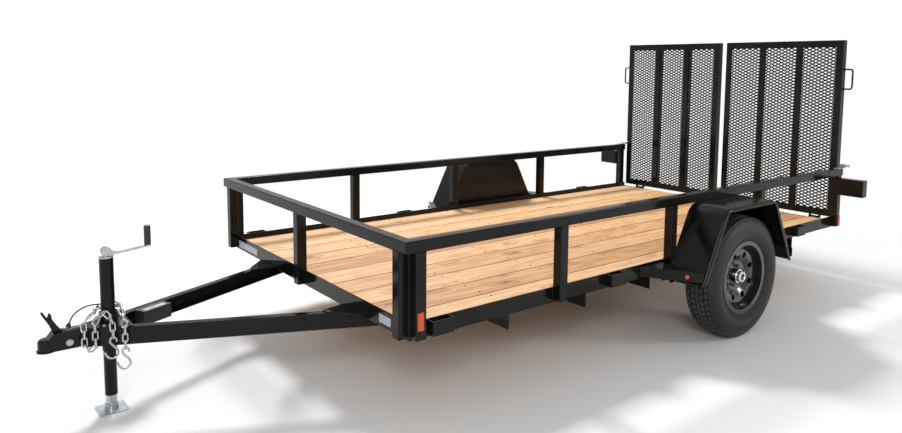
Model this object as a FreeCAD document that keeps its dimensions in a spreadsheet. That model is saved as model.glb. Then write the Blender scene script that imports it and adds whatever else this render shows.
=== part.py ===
import FreeCAD, Part
import math
import os
import Sketcher
from FreeCAD import Placement, Rotation, Vector

# A single-axle utility trailer: an angle-iron bed with a pine deck, a square-tube rail on posts,
# two mesh gates that fold down at the rear, steel fenders, and an A-frame tongue that stands on
# its jack. +X points forward, +Y to the left and +Z up. The origin is on the ground, under the
# middle of the whole length. Lengths are in millimetres and angles in degrees.

SIZES = {
    "bed_length": 3658, "bed_width": 1930, "frame_top": 464,
    "leg_tall": 76, "leg_wide": 51, "angle_wall": 4.8, "crossmember_pitch": 508,
    "tongue_reach": 1185, "tongue_angle": 25, "apex_back": 98,
    "channel_depth": 76, "channel_flange": 36, "channel_wall": 5,
    "post_side": 51, "tube_wall": 3.2, "tube_round": 5, "rail_top": 816, "post_low": 400,
    "post_two": 840, "post_three": 1690, "post_four": 2595, "rear_post_inset": 13,
    "deck_thick": 38, "deck_gap": 4, "seat_gap": 0.3,
    "coupler_plate": 6, "nose_half": 30, "dome_radius": 33, "dome_tall": 52, "lip_radius": 38,
    "lip_thick": 6, "socket_radius": 25.8, "socket_deep": 40, "latch_back": 59,
    "gusset_reach": 110, "gusset_foot": 70,
    "jack_back": 272, "jack_diameter": 57, "jack_top": 676, "ram_tube": 51, "ram_diameter": 44,
    "ram_long": 476, "sleeve_drop": 40, "sleeve_low": 70, "plate_ahead": 42, "plate_behind": 75,
    "collar_tall": 46, "collar_wall": 8, "crank_reach": 168, "crank_head": 21,
    "grip_radius": 14, "grip_tall": 86, "foot_width": 115, "foot_thick": 5, "foot_socket": 26,
    "fender_width": 231, "fender_top": 768, "fender_low": 380, "fender_top_half": 255,
    "fender_foot_half": 452, "fender_round": 100, "fender_edge": 12, "fender_lip": 22,
    "sheet_wall": 2.6, "step_drop": 9, "step_tall": 55, "step_reach": 165,
    "axle_back": 2085, "axle_drop": 102, "axle_diameter": 60, "axle_wall": 6,
    "spindle_diameter": 34, "spring_half": 330, "spring_width": 45, "leaf_thick": 7,
    "eye_radius": 14, "clamp_rod": 10,
    "tyre_radius": 344, "tyre_width": 198, "wheel_out": 168, "rim_radius": 203, "rim_width": 150,
    "window_circle": 124, "window_radius": 17, "nut_circle": 57, "nut_radius": 10,
    "pilot_radius": 40,
    "gate_top": 1727, "gate_low": 450, "gate_depth": 50, "gate_bar": 50, "gate_wall": 4.8,
    "gate_split": 66, "gate_side_gap": 4, "gate_set_back": 17, "mesh_thick": 1.2,
    "hinge_low": 25, "hinge_inset": 150, "pin_diameter": 16, "sleeve_wall": 5,
    "sleeve_length": 60, "pin_gap": 0.1, "ear_gap": 1.5, "ear_wall": 8,
    "handle_low": 930, "handle_tall": 140, "handle_reach": 62, "handle_rod": 12,
    "pocket_long": 99, "pocket_deep": 48, "pocket_wall": 5, "pocket_tall": 62,
    "pocket_one": 85, "pocket_two": 1190, "pocket_three": 3058,
    "light_reach": 225, "light_tall": 118, "light_deep": 62, "light_low": 634,
    "lens_long": 116, "lens_tall": 56, "marker_tall": 76, "marker_wide": 27, "marker_low": 444,
    "chain_wire": 7.5, "chain_pitch": 31, "chain_wide": 20,
    "box_long": 150, "box_wide": 62, "box_tall": 60, "box_wall": 2.5, "box_gap": 53,
    "lead_diameter": 6,
}

doc = FreeCAD.newDocument("UtilityTrailer")
sheet = doc.addObject("Spreadsheet::Sheet", "Sizes")
for row, (alias, number) in enumerate(SIZES.items(), start=1):
    sheet.set(f"A{row}", alias)
    sheet.set(f"B{row}", str(number))
    sheet.setAlias(f"B{row}", alias)
doc.recompute()


class Size:
    """A length that carries its number and the sheet expression that gives it."""

    def __init__(self, number, text):
        self.number = float(number)
        self.text = text

    def __add__(self, other):
        other = size(other)
        return Size(self.number + other.number, f"({self.text} + {other.text})")

    def __radd__(self, other):
        return size(other) + self

    def __sub__(self, other):
        other = size(other)
        return Size(self.number - other.number, f"({self.text} - {other.text})")

    def __rsub__(self, other):
        return size(other) - self

    def __mul__(self, other):
        other = size(other)
        return Size(self.number * other.number, f"({self.text} * {other.text})")

    def __rmul__(self, other):
        return size(other) * self

    def __truediv__(self, other):
        other = size(other)
        return Size(self.number / other.number, f"({self.text} / {other.text})")

    def __neg__(self):
        return size(0) - self

    def __float__(self):
        return self.number


def size(value):
    return value if isinstance(value, Size) else Size(value, f"({value:g})")


def cell(alias):
    return Size(sheet.get(alias), f"Sizes.{alias}")


def tangent(angle):
    return Size(math.tan(math.radians(angle.number)), f"tan({angle.text})")


def cosine(angle):
    return Size(math.cos(math.radians(angle.number)), f"cos({angle.text})")


def point(*values):
    """A point or direction from sizes or numbers."""
    return Vector(*(float(value) for value in values))


bed_length, bed_width, frame_top = cell("bed_length"), cell("bed_width"), cell("frame_top")
leg_tall, leg_wide, angle_wall = cell("leg_tall"), cell("leg_wide"), cell("angle_wall")
post, tube_wall, rail_top = cell("post_side"), cell("tube_wall"), cell("rail_top")
tongue_reach, slope = cell("tongue_reach"), tangent(cell("tongue_angle"))
gate_depth, gate_bar = cell("gate_depth"), cell("gate_bar")
seat_gap, sheet_wall = cell("seat_gap"), cell("sheet_wall")

# Main planes of the bed
gate_rear = cell("gate_set_back") + gate_depth
bed_front = (bed_length + gate_rear - tongue_reach) / 2
bed_rear = bed_front - bed_length
frame_side = bed_width / 2
frame_bottom = frame_top - leg_tall
leg_top = frame_bottom + angle_wall
deck_top = leg_top + cell("deck_thick")
rail_bottom = rail_top - post
post_face = frame_side + post
half_post = post / 2
axle_x = bed_front - cell("axle_back")
wheel_z = cell("tyre_radius")
fender_out = post_face + cell("fender_width")
step_top = frame_top - cell("step_drop")
NEAR = 1
ROUND = 1e-3


def body(label):
    made = doc.addObject("PartDesign::Body", label)
    made.Label = label
    return made


def sketch(owner, role, offset):
    """A sketch on a plane of its own body, moved along +X, +Y or +Z by offset."""
    made = owner.newObject("Sketcher::SketchObject", "Sketch")
    plane = next(f for f in owner.Origin.OriginFeatures if f.Role == role)
    made.AttachmentSupport = [(plane, "")]
    made.MapMode = "FlatFace"
    along = -offset if role == "XZ_Plane" else offset
    made.setExpression("AttachmentOffset.Base.z", size(along).text)
    return made


def place(drawing, name, geometry, corner, value):
    constraint = Sketcher.Constraint(name, -1, 1, geometry, corner, float(value))
    index = drawing.addConstraint(constraint)
    drawing.setExpression(f"Constraints[{index}]", size(value).text)


def polygon(drawing, corners):
    """A closed outline whose corners are all placed from the sketch's origin."""
    first = drawing.GeometryCount
    count = len(corners)
    points = [point(x, y, 0) for x, y in corners]
    for i in range(count):
        drawing.addGeometry(Part.LineSegment(points[i], points[(i + 1) % count]), False)
    for i in range(count):
        following = first + (i + 1) % count
        drawing.addConstraint(Sketcher.Constraint("Coincident", first + i, 2, following, 1))
    for i, (x, y) in enumerate(corners):
        place(drawing, "DistanceX", first + i, 1, x)
        place(drawing, "DistanceY", first + i, 1, y)


def circle(drawing, x, y, radius):
    made = Part.Circle(point(x, y, 0), Vector(0, 0, 1), float(radius))
    index = drawing.addGeometry(made, False)
    place(drawing, "DistanceX", index, 3, x)
    place(drawing, "DistanceY", index, 3, y)
    constraint = drawing.addConstraint(Sketcher.Constraint("Radius", index, float(radius)))
    drawing.setExpression(f"Constraints[{constraint}]", size(radius).text)


def solid(owner, kind, role, start, length, outlines=(), circles=()):
    """A Pad or Pocket that fills start to start + length along the sketch plane's own axis."""
    from_end = (kind == "Pad") == (role == "XZ_Plane")
    drawing = sketch(owner, role, size(start) + length if from_end else size(start))
    for corners in outlines:
        polygon(drawing, corners)
    for x, y, radius in circles:
        circle(drawing, x, y, radius)
    feature = owner.newObject(f"PartDesign::{kind}", kind)
    feature.Profile = drawing
    feature.setExpression("Length", size(length).text)
    return feature


def rectangle(low_x, low_y, high_x, high_y):
    return [(low_x, low_y), (high_x, low_y), (high_x, high_y), (low_x, high_y)]


def oval(owner, kind, start, length, centre, long, tall):
    """A pad or pocket with round ends, looked at along the trailer."""
    middle_y, middle_z = centre
    radius = tall / 2
    reach = long / 2 - radius
    solid(owner, kind, "YZ_Plane", start, length,
          [rectangle(middle_y - reach, middle_z - radius, middle_y + reach, middle_z + radius)])
    for side in (-1, 1):
        solid(owner, kind, "YZ_Plane", start, length, (), [(middle_y + reach * side, middle_z, radius)])


def round_edges(owner, radius, wanted):
    """Fillets the edges of the body's present shape whose middle and direction are wanted."""
    doc.recompute()
    base = owner.Tip
    names = []
    for number, edge in enumerate(base.Shape.Edges, start=1):
        middle = edge.valueAt((edge.FirstParameter + edge.LastParameter) / 2)
        direction = edge.valueAt(edge.LastParameter) - edge.valueAt(edge.FirstParameter)
        if wanted(middle, direction):
            names.append(f"Edge{number}")
    fillet = owner.newObject("PartDesign::Fillet", "Fillet")
    fillet.Base = (base, names)
    fillet.setExpression("Radius", size(radius).text)
    return fillet


def joined(pieces, label):
    """Like pieces kept under one name."""
    made = doc.addObject("Part::Compound", label)
    made.Label = label
    made.Links = pieces
    return made


def shaped(label, shape):
    made = doc.addObject("Part::Feature", label)
    made.Label = label
    made.Shape = shape
    made.Placement = Placement()
    return made


def mirrored(source, label):
    """The same piece on the right side of the trailer."""
    made = doc.addObject("Part::Mirroring", label)
    made.Label = label
    made.Source = source
    made.Normal = Vector(0, 1, 0)
    return made


nodes = []


def keep(*pieces):
    nodes.extend(pieces)


def both(source, label):
    """A left and a right piece kept as one node."""
    keep(joined([source, mirrored(source, f"{label}_mirror")], label))


def pair(source, stem):
    source.Label = f"{stem}_left"
    keep(source, mirrored(source, f"{stem}_right"))


# Bed frame: side rails, front and rear members and crossmembers of steel angle

rail = body("side_rail_left")
section = [(frame_side, frame_bottom), (frame_side, frame_top), (frame_side - angle_wall, frame_top),
           (frame_side - angle_wall, leg_top), (frame_side - leg_wide, leg_top),
           (frame_side - leg_wide, frame_bottom)]
solid(rail, "Pad", "YZ_Plane", bed_rear, bed_length, [section])
pair(rail, "side_rail")

between = frame_side - angle_wall
inside_legs = frame_side - leg_wide


def end_member(label, outer_x, wall_x, leg_x, top):
    """An angle across the end of the bed, its leg cut back to fit between the side rails' legs."""
    made = body(label)
    solid(made, "Pad", "XZ_Plane", -between, between * 2, [rectangle(outer_x, leg_top, wall_x, top)])
    solid(made, "Pad", "XZ_Plane", -inside_legs, inside_legs * 2,
          [rectangle(outer_x, frame_bottom, leg_x, leg_top)])
    keep(made)


end_member("front_member", bed_front, bed_front - angle_wall, bed_front - leg_wide, frame_top)
end_member("rear_member", bed_rear, bed_rear + angle_wall, bed_rear + leg_wide, deck_top)

# Crossmembers stand at an even pitch from the one over the axle, clear of the end members
crossmember_pitch = cell("crossmember_pitch")
end_bay = crossmember_pitch / 4
ahead = int(float((cell("axle_back") - end_bay) / crossmember_pitch))
behind = int(float((bed_length - cell("axle_back") - end_bay) / crossmember_pitch))
first_crossmember = axle_x + leg_wide / 2 + crossmember_pitch * ahead
crossmembers = []
for number in range(ahead + behind + 1):
    front = first_crossmember - crossmember_pitch * number
    one = body(f"crossmember_{number}")
    section = [(front, leg_top - leg_tall), (front, leg_top), (front - leg_wide, leg_top),
               (front - leg_wide, frame_bottom), (front - angle_wall, frame_bottom),
               (front - angle_wall, leg_top - leg_tall)]
    solid(one, "Pad", "XZ_Plane", -frame_side, frame_side * 2, [section])
    for side in (-1, 1):
        low_y = side * (frame_side - leg_wide / 2) - leg_wide / 2
        solid(one, "Pocket", "XY_Plane", frame_bottom, angle_wall,
              [rectangle(front - leg_wide, low_y, front, low_y + leg_wide)])
    crossmembers.append(one)
keep(joined(crossmembers, "crossmembers"))

# Deck: pine boards laid lengthwise on the angle legs

BOARDS = 10
deck_side = between - cell("deck_gap") / 2
board_pitch = (deck_side * 2 + cell("deck_gap")) / BOARDS
deck_back = bed_rear + angle_wall + seat_gap
deck_front = bed_front - angle_wall - seat_gap
boards = []
for number in range(BOARDS):
    board = doc.addObject("Part::Box", f"board_{number}")
    board.setExpression("Length", (deck_front - deck_back).text)
    board.setExpression("Width", (board_pitch - cell("deck_gap")).text)
    board.setExpression("Height", cell("deck_thick").text)
    board.setExpression("Placement.Base.x", deck_back.text)
    board.setExpression("Placement.Base.y", (board_pitch * number - deck_side).text)
    board.setExpression("Placement.Base.z", leg_top.text)
    boards.append(board)
keep(joined(boards, "deck_boards"))

# Posts and top rail: square tube with round corners, posts outside the frame and the rail
# mitred on top of them

tube_round = cell("tube_round")
post_low = cell("post_low")


def square_post(label, low_x, low_y, foot):
    """A square tube post up to the rail, its foot closed by a rounded cap."""
    made = body(label)
    centre = point(low_x + half_post, low_y + half_post, 0)
    corner = float(half_post) - NEAR

    def outer(at, way):
        upright = abs(way.z) > abs(way.x) + abs(way.y)
        if upright:
            return abs(at.x - centre.x) > corner and abs(at.y - centre.y) > corner
        return at.z < float(foot) + NEAR

    solid(made, "Pad", "XY_Plane", foot, rail_bottom - foot,
          [rectangle(low_x, low_y, low_x + post, low_y + post)])
    round_edges(made, tube_round, outer)
    solid(made, "Pocket", "XY_Plane", foot + tube_wall, rail_bottom - foot - tube_wall,
          [rectangle(low_x + tube_wall, low_y + tube_wall, low_x + post - tube_wall,
                     low_y + post - tube_wall)])
    return made


side_post_places = [(bed_front, post_low), (bed_front - cell("post_two") + half_post, post_low),
                    (bed_front - cell("post_three") + half_post, step_top),
                    (bed_front - cell("post_four") + half_post, step_top),
                    (bed_rear + cell("rear_post_inset") + post, post_low)]
both(joined([square_post(f"side_post_{number}", front - post, frame_side, foot)
             for number, (front, foot) in enumerate(side_post_places)], "side_posts_left"),
     "side_posts")
keep(joined([square_post(f"front_post_{number}", bed_front, low_y, post_low)
             for number, low_y in enumerate((-frame_side, -half_post, frame_side - post))],
            "front_posts"))

rail_front = bed_front + post


def long_edges(axis):
    """Picks a rail's four outer edges, before it is hollowed."""
    return lambda at, way: abs(getattr(way, axis)) > float(frame_side)


rail_side = body("top_rail_left")
solid(rail_side, "Pad", "YZ_Plane", bed_rear, rail_front - bed_rear,
      [rectangle(frame_side, rail_bottom, post_face, rail_top)])
round_edges(rail_side, tube_round, long_edges("x"))
solid(rail_side, "Pocket", "YZ_Plane", bed_rear + tube_wall, rail_front - bed_rear,
      [rectangle(frame_side + tube_wall, rail_bottom + tube_wall, post_face - tube_wall,
                 rail_top - tube_wall)])
solid(rail_side, "Pocket", "XY_Plane", rail_bottom, post,
      [[(bed_front, frame_side), (rail_front + post, frame_side - post),
        (rail_front + post, post_face + post)]])
pair(rail_side, "top_rail")

rail_cross = body("top_rail_front")
solid(rail_cross, "Pad", "XZ_Plane", -post_face, post_face * 2,
      [rectangle(bed_front, rail_bottom, rail_front, rail_top)])
round_edges(rail_cross, tube_round, long_edges("y"))
solid(rail_cross, "Pocket", "XZ_Plane", -post_face, post_face * 2,
      [rectangle(bed_front + tube_wall, rail_bottom + tube_wall, rail_front - tube_wall,
                 rail_top - tube_wall)])
for side in (-1, 1):
    solid(rail_cross, "Pocket", "XY_Plane", rail_bottom, post,
          [[(bed_front, side * frame_side), (rail_front + post, side * (post_face + post)),
            (bed_front - post, side * (post_face + post))]])
keep(rail_cross)

# Tongue: two channels in an A, which run under the bed to the first crossmember

apex_x = bed_front + tongue_reach - cell("apex_back")
channel_top = frame_bottom
channel_depth = cell("channel_depth")
channel_bottom = channel_top - channel_depth
flange, web = cell("channel_flange"), cell("channel_wall")
skew = size(1) / cosine(cell("tongue_angle"))
tongue_front = apex_x - (flange * skew + web) / slope
tongue_rear = first_crossmember


def tongue_edge(x, inboard=0):
    """Distance from the centre line to a line parallel to the channel's outer edge."""
    return (apex_x - x) * slope - size(inboard) * skew


tongue = body("tongue_rail_left")
solid(tongue, "Pad", "XY_Plane", channel_bottom, channel_depth,
      [[(tongue_front, tongue_edge(tongue_front)), (tongue_rear, tongue_edge(tongue_rear)),
        (tongue_rear, tongue_edge(tongue_rear, flange)),
        (tongue_front, tongue_edge(tongue_front, flange))]])
solid(tongue, "Pocket", "XY_Plane", channel_bottom + web, channel_depth - web * 2,
      [[(tongue_front + post, tongue_edge(tongue_front + post, web)),
        (tongue_rear - post, tongue_edge(tongue_rear - post, web)),
        (tongue_rear - post, tongue_edge(tongue_rear - post, flange + post)),
        (tongue_front + post, tongue_edge(tongue_front + post, flange + post))]])
pair(tongue, "tongue_rail")

gusset_front, gusset_foot = bed_front + cell("gusset_reach"), cell("gusset_foot")
coupler_plate = cell("coupler_plate")
gusset = body("tongue_gusset_left")
solid(gusset, "Pad", "XY_Plane", channel_top, coupler_plate,
      [[(bed_front, tongue_edge(bed_front) + gusset_foot),
        (bed_front, tongue_edge(bed_front, flange) - gusset_foot),
        (gusset_front, tongue_edge(gusset_front, flange)),
        (gusset_front, tongue_edge(gusset_front))]])
both(gusset, "tongue_gussets")

# Coupler: a plate over the tongue's point, a hollow neck and a domed nose with a ball socket

jack_x = bed_front + tongue_reach - cell("jack_back")
plate_front, plate_back = jack_x + cell("plate_ahead"), jack_x - cell("plate_behind")
plate_top = channel_top + coupler_plate
lip_radius, nose_half = cell("lip_radius"), cell("nose_half")
ball_x = bed_front + tongue_reach - lip_radius
neck_back = apex_x - nose_half / slope
neck_front = ball_x - lip_radius
lip_low = channel_bottom + coupler_plate
dome_top = lip_low + cell("dome_tall")
throat_x = tongue_front + seat_gap

coupler = body("coupler")
solid(coupler, "Pad", "XY_Plane", channel_top, coupler_plate,
      [[(plate_front, -tongue_edge(plate_front)), (neck_back, -nose_half),
        (neck_back, nose_half), (plate_front, tongue_edge(plate_front))]])
solid(coupler, "Pad", "XY_Plane", channel_bottom, channel_depth,
      [[(throat_x, -tongue_edge(throat_x)), (neck_back, -nose_half), (neck_back, nose_half),
        (throat_x, tongue_edge(throat_x))]])
solid(coupler, "Pad", "XZ_Plane", -nose_half, nose_half * 2,
      [[(neck_back - web, lip_low), (ball_x, lip_low), (ball_x, dome_top - web),
        (neck_front + nose_half / 2, plate_top), (neck_back - web, plate_top)]])
solid(coupler, "Pad", "XY_Plane", lip_low, cell("dome_tall"), (), [(ball_x, 0, cell("dome_radius"))])
round_edges(coupler, cell("dome_tall") / 4,
            lambda at, way: at.x > float(ball_x) and at.z > float(dome_top) - NEAR)
solid(coupler, "Pad", "XY_Plane", lip_low, cell("lip_thick"), (), [(ball_x, 0, lip_radius)])
solid(coupler, "Pocket", "XY_Plane", channel_bottom, channel_depth - web,
      [[(throat_x - web, web - tongue_edge(throat_x - web)), (neck_back - web, web - nose_half),
        (neck_front, web - nose_half), (neck_front, nose_half - web),
        (neck_back - web, nose_half - web), (throat_x - web, tongue_edge(throat_x - web) - web)]])
solid(coupler, "Pocket", "XY_Plane", lip_low, cell("socket_deep"), (),
      [(ball_x, 0, cell("socket_radius"))])
keep(coupler)

# Latch: a lever with two cheeks and a web behind them, forked at the top
latch = body("coupler_latch")
latch_low = plate_top + seat_gap
latch_rear, latch_half, latch_wall = ball_x - cell("latch_back"), size(11), size(4)


def latch_outline(corners):
    return [(latch_rear + along, latch_low + up) for along, up in corners]


solid(latch, "Pad", "XZ_Plane", -latch_half, latch_half * 2,
      [latch_outline([(0, 0), (4, 0), (22, 24), (41, 54), (37, 54), (18, 24)])])
for side in (-1, 1):
    solid(latch, "Pad", "XZ_Plane", latch_half * side - latch_wall / 2, latch_wall,
          [latch_outline([(0, 0), (36, 0), (50, 36), (76, 84), (69, 89), (52, 60), (47, 78), (39, 76),
                          (36, 54), (18, 24)])])
solid(latch, "Pad", "XZ_Plane", -latch_half, latch_half * 2, (),
      [(latch_rear + 67, latch_low + 78, size(5))])
keep(latch)

# Jack: a collared plate on the tongue, a fixed tube, and a leg that slides in it

jack_radius = cell("jack_diameter") / 2
collar_bore = jack_radius + seat_gap
collar_radius = collar_bore + cell("collar_wall")
collar_top = plate_top + cell("collar_tall")
jack_plate = body("jack_plate")
solid(jack_plate, "Pad", "XY_Plane", channel_top, coupler_plate,
      [[(plate_back, -tongue_edge(plate_back)), (plate_front, -tongue_edge(plate_front)),
        (plate_front, tongue_edge(plate_front)), (plate_back, tongue_edge(plate_back))]])
solid(jack_plate, "Pad", "XY_Plane", channel_top, collar_top - channel_top, (),
      [(jack_x, 0, collar_radius)])
solid(jack_plate, "Pocket", "XY_Plane", channel_top, collar_top - channel_top, (),
      [(jack_x, 0, collar_bore)])
keep(jack_plate)

ram_bore = cell("ram_diameter") / 2 + seat_gap
sleeve_top = channel_bottom - cell("sleeve_drop")
sleeve_low, jack_top = cell("sleeve_low"), cell("jack_top")
jack_tube = body("jack_tube")
solid(jack_tube, "Pad", "XY_Plane", sleeve_top, jack_top - sleeve_top, (),
      [(jack_x, 0, jack_radius)])
round_edges(jack_tube, sheet_wall, lambda at, way: at.z > float(jack_top) - NEAR)
solid(jack_tube, "Pad", "XY_Plane", sleeve_low, sleeve_top - sleeve_low, (),
      [(jack_x, 0, cell("ram_tube") / 2)])
solid(jack_tube, "Pocket", "XY_Plane", sleeve_low, jack_top - sleeve_low - post, (),
      [(jack_x, 0, ram_bore)])
keep(jack_tube)

# Crank: a flanged gear head, a flat arm that rises to the rear, and a grip on its stud
head_radius, grip_radius = cell("crank_head"), cell("grip_radius")
crank_end = jack_x - cell("crank_reach")
head_z = jack_top + head_radius + web
arm_top, arm_half = head_z + web, grip_radius - web
stud_radius = grip_radius / 2
elbow_x = jack_x - post
crank = body("jack_crank")
solid(crank, "Pad", "XY_Plane", jack_top, web, (), [(jack_x, 0, jack_radius + 1)])
solid(crank, "Pad", "XY_Plane", jack_top, head_radius, (), [(jack_x, 0, head_radius - web)])
solid(crank, "Pad", "XZ_Plane", -grip_radius, grip_radius * 2, (), [(jack_x, head_z, head_radius)])
solid(crank, "Pad", "XZ_Plane", -arm_half, arm_half * 2,
      [[(jack_x, head_z - head_radius + 3), (jack_x, head_z + head_radius / 2),
        (elbow_x, head_z - 7), (crank_end, arm_top), (crank_end - grip_radius, arm_top),
        (crank_end - grip_radius, arm_top - 6), (crank_end, arm_top - 6), (elbow_x, head_z - 15)]])
solid(crank, "Pad", "XY_Plane", arm_top - 3, cell("grip_tall") + 8, (),
      [(crank_end, 0, stud_radius)])
keep(crank)
grip = body("jack_grip")
grip_low = arm_top + seat_gap
solid(grip, "Pad", "XY_Plane", grip_low, cell("grip_tall"), (), [(crank_end, 0, grip_radius)])
round_edges(grip, sheet_wall, lambda at, way: abs(way.z) < NEAR)
solid(grip, "Pocket", "XY_Plane", grip_low, cell("grip_tall"), (),
      [(crank_end, 0, stud_radius + seat_gap)])
keep(grip)

foot_half, foot_thick = cell("foot_width") / 2, cell("foot_thick")
jack_foot = body("jack_foot")
solid(jack_foot, "Pad", "XY_Plane", 0, foot_thick,
      [rectangle(jack_x - foot_half, -foot_half, jack_x + foot_half, foot_half)])
round_edges(jack_foot, foot_thick, lambda at, way: abs(way.z) > NEAR)
solid(jack_foot, "Pad", "XY_Plane", foot_thick, cell("foot_socket"), (),
      [(jack_x, 0, ram_bore + web)])
solid(jack_foot, "Pocket", "XY_Plane", foot_thick, cell("foot_socket"), (), [(jack_x, 0, ram_bore)])
keep(jack_foot)
ram = body("jack_ram")
solid(ram, "Pad", "XY_Plane", foot_thick, cell("ram_long"), (),
      [(jack_x, 0, cell("ram_diameter") / 2)])
keep(ram)

# Fenders: pressed sheet with round shoulders, open below and open outward inside a turned lip

fender_top, fender_low = cell("fender_top"), cell("fender_low")
lean = (cell("fender_foot_half") - cell("fender_top_half")) / (fender_top - fender_low)


def fender_outline(inset, below):
    """Side view of the fender, drawn inset from its outside and carried on below its foot."""
    top = fender_top - inset
    low = fender_low - below
    half_top = cell("fender_top_half") - inset
    half_low = half_top + lean * (top - low)
    return [(axle_x - half_low, low), (axle_x + half_low, low), (axle_x + half_top, top),
            (axle_x - half_top, top)]


def shoulders(at, way):
    return abs(way.y) > float(cell("fender_lip")) * 4 and at.z > float(fender_top) - NEAR


def outer_edges(at, way):
    return at.y > float(fender_out) - NEAR and at.z > float(fender_low) + NEAR


fender = body("fender_left")
solid(fender, "Pad", "XZ_Plane", post_face, cell("fender_width"), [fender_outline(0, 0)])
round_edges(fender, cell("fender_round"), shoulders)
pressed = round_edges(fender, cell("fender_edge"), outer_edges)
doc.recompute()
foot_face = next(f"Face{number}" for number, face in enumerate(pressed.Shape.Faces, start=1)
                 if face.CenterOfMass.z < float(fender_low) + NEAR)
shell = fender.newObject("PartDesign::Thickness", "Thickness")
shell.Base = (pressed, [foot_face])
shell.setExpression("Value", sheet_wall.text)
shell.Reversed = True
solid(fender, "Pocket", "XZ_Plane", fender_out - sheet_wall * 2, sheet_wall * 2,
      [fender_outline(cell("fender_lip"), post)])
pair(fender, "fender")

# Steps: triangular shelves before and behind each fender, with a folded outer face

step_tall, step_reach = cell("step_tall"), cell("step_reach")
step_low = step_top - step_tall
fender_foot = cell("fender_foot_half")
steps = []
for number, way in enumerate((1, -1)):
    foot_x = axle_x + way * (fender_foot + seat_gap)
    tip_x = foot_x + way * step_reach
    one = body(f"fender_step_{number}")
    solid(one, "Pad", "XY_Plane", step_low, step_tall,
          [[(foot_x, frame_side), (tip_x, frame_side), (foot_x, fender_out)]])
    solid(one, "Pocket", "XY_Plane", step_low, step_tall - angle_wall,
          [[(foot_x - way, frame_side - NEAR), (tip_x - way * angle_wall * 2, frame_side - NEAR),
            (foot_x - way, fender_out - angle_wall * 3)]])
    steps.append(one)
both(joined(steps, "fender_steps_left"), "fender_braces")

# Stake pockets welded to the outside of the frame

pocket_wall, pocket_long, pocket_tall = cell("pocket_wall"), cell("pocket_long"), cell("pocket_tall")
pocket_side = frame_side + cell("pocket_deep")
pockets = []
for name in ("pocket_one", "pocket_two", "pocket_three"):
    front = bed_front - cell(name)
    back = front - pocket_long - pocket_wall * 2
    one = body(f"stake_{name}")
    solid(one, "Pad", "XY_Plane", frame_top - pocket_tall, pocket_tall,
          [rectangle(back, frame_side, front, pocket_side)])
    round_edges(one, pocket_wall,
                lambda at, way: abs(way.z) > NEAR and at.y > float(pocket_side) - NEAR)
    solid(one, "Pocket", "XY_Plane", frame_top - pocket_tall, pocket_tall,
          [rectangle(back + pocket_wall, frame_side, front - pocket_wall, pocket_side - pocket_wall)])
    pockets.append(one)
both(joined(pockets, "stake_pockets_left"), "stake_pockets")

# Lamps: a box with an oval lens beside each rear post, and lenses on the posts and steps

rear_post_back = bed_rear + cell("rear_post_inset")
light_low, light_tall, light_deep = cell("light_low"), cell("light_tall"), cell("light_deep")
light_out = frame_side + cell("light_reach")
lens_long, lens_tall = cell("lens_long"), cell("lens_tall")
lens_centre = ((post_face + light_out) / 2, light_low + light_tall / 2)
light_box = body("light_box_left")
solid(light_box, "Pad", "XY_Plane", light_low, light_tall,
      [rectangle(rear_post_back, post_face, rear_post_back + light_deep, light_out)])
round_edges(light_box, sheet_wall,
            lambda at, way: at.y > float(light_out) - NEAR or abs(way.y) > NEAR)
solid(light_box, "Pocket", "YZ_Plane", rear_post_back + sheet_wall, light_deep - sheet_wall * 2,
      [rectangle(post_face + sheet_wall, light_low + sheet_wall, light_out - sheet_wall,
                 light_low + light_tall - sheet_wall)])
oval(light_box, "Pocket", rear_post_back, sheet_wall * 2, lens_centre, lens_long, lens_tall)
both(light_box, "light_boxes")

tail_lamp = body("tail_lamp_left")
oval(tail_lamp, "Pad", rear_post_back - web, web * 5, lens_centre, lens_long - seat_gap * 2,
     lens_tall - seat_gap * 2)
marker_tall, marker_wide, marker_low = cell("marker_tall"), cell("marker_wide"), cell("marker_low")


def side_lens(label, back, low):
    """A flat block lens on the outer face of a post."""
    made = body(label)
    solid(made, "Pad", "XZ_Plane", post_face + seat_gap, web * 2,
          [rectangle(back, low, back + marker_wide, low + marker_tall)])
    round_edges(made, web / 2, lambda at, way: at.y > float(post_face + web))
    return made


rear_marker = side_lens("rear_marker_left", rear_post_back + (post - marker_wide) / 2, post_low + web)
both(joined([tail_lamp, rear_marker], "tail_lamps_left"), "tail_lamps")

front_marker = side_lens("front_marker_left", bed_front - marker_wide - web, marker_low)
step_foot = axle_x + fender_foot + seat_gap
step_tip = point(step_foot + step_reach, frame_side, step_low + step_tall / 2)
step_edge = point(step_foot, fender_out, step_tip.z) - step_tip
step_out = step_edge.cross(Vector(0, 0, 1)).normalize()
LENS_RADIUS, LENS_THICK, LENS_PLACE = 11, 9, 0.75
lens_at = step_tip + step_edge * LENS_PLACE + step_out * float(seat_gap)
step_lens = Part.makeCylinder(LENS_RADIUS, LENS_THICK, lens_at, step_out)
both(joined([front_marker, shaped("step_lens_left", step_lens)], "side_markers_left"),
     "side_markers")

# Axle: a hollow drop axle with a spindle in each end

axle_radius, spindle_radius = float(cell("axle_diameter")) / 2, float(cell("spindle_diameter")) / 2
tube_z = float(wheel_z - cell("axle_drop"))
track = float(frame_side + cell("wheel_out"))
axle_line, axle_high = float(axle_x), float(wheel_z)
across = Vector(0, 1, 0)


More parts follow.
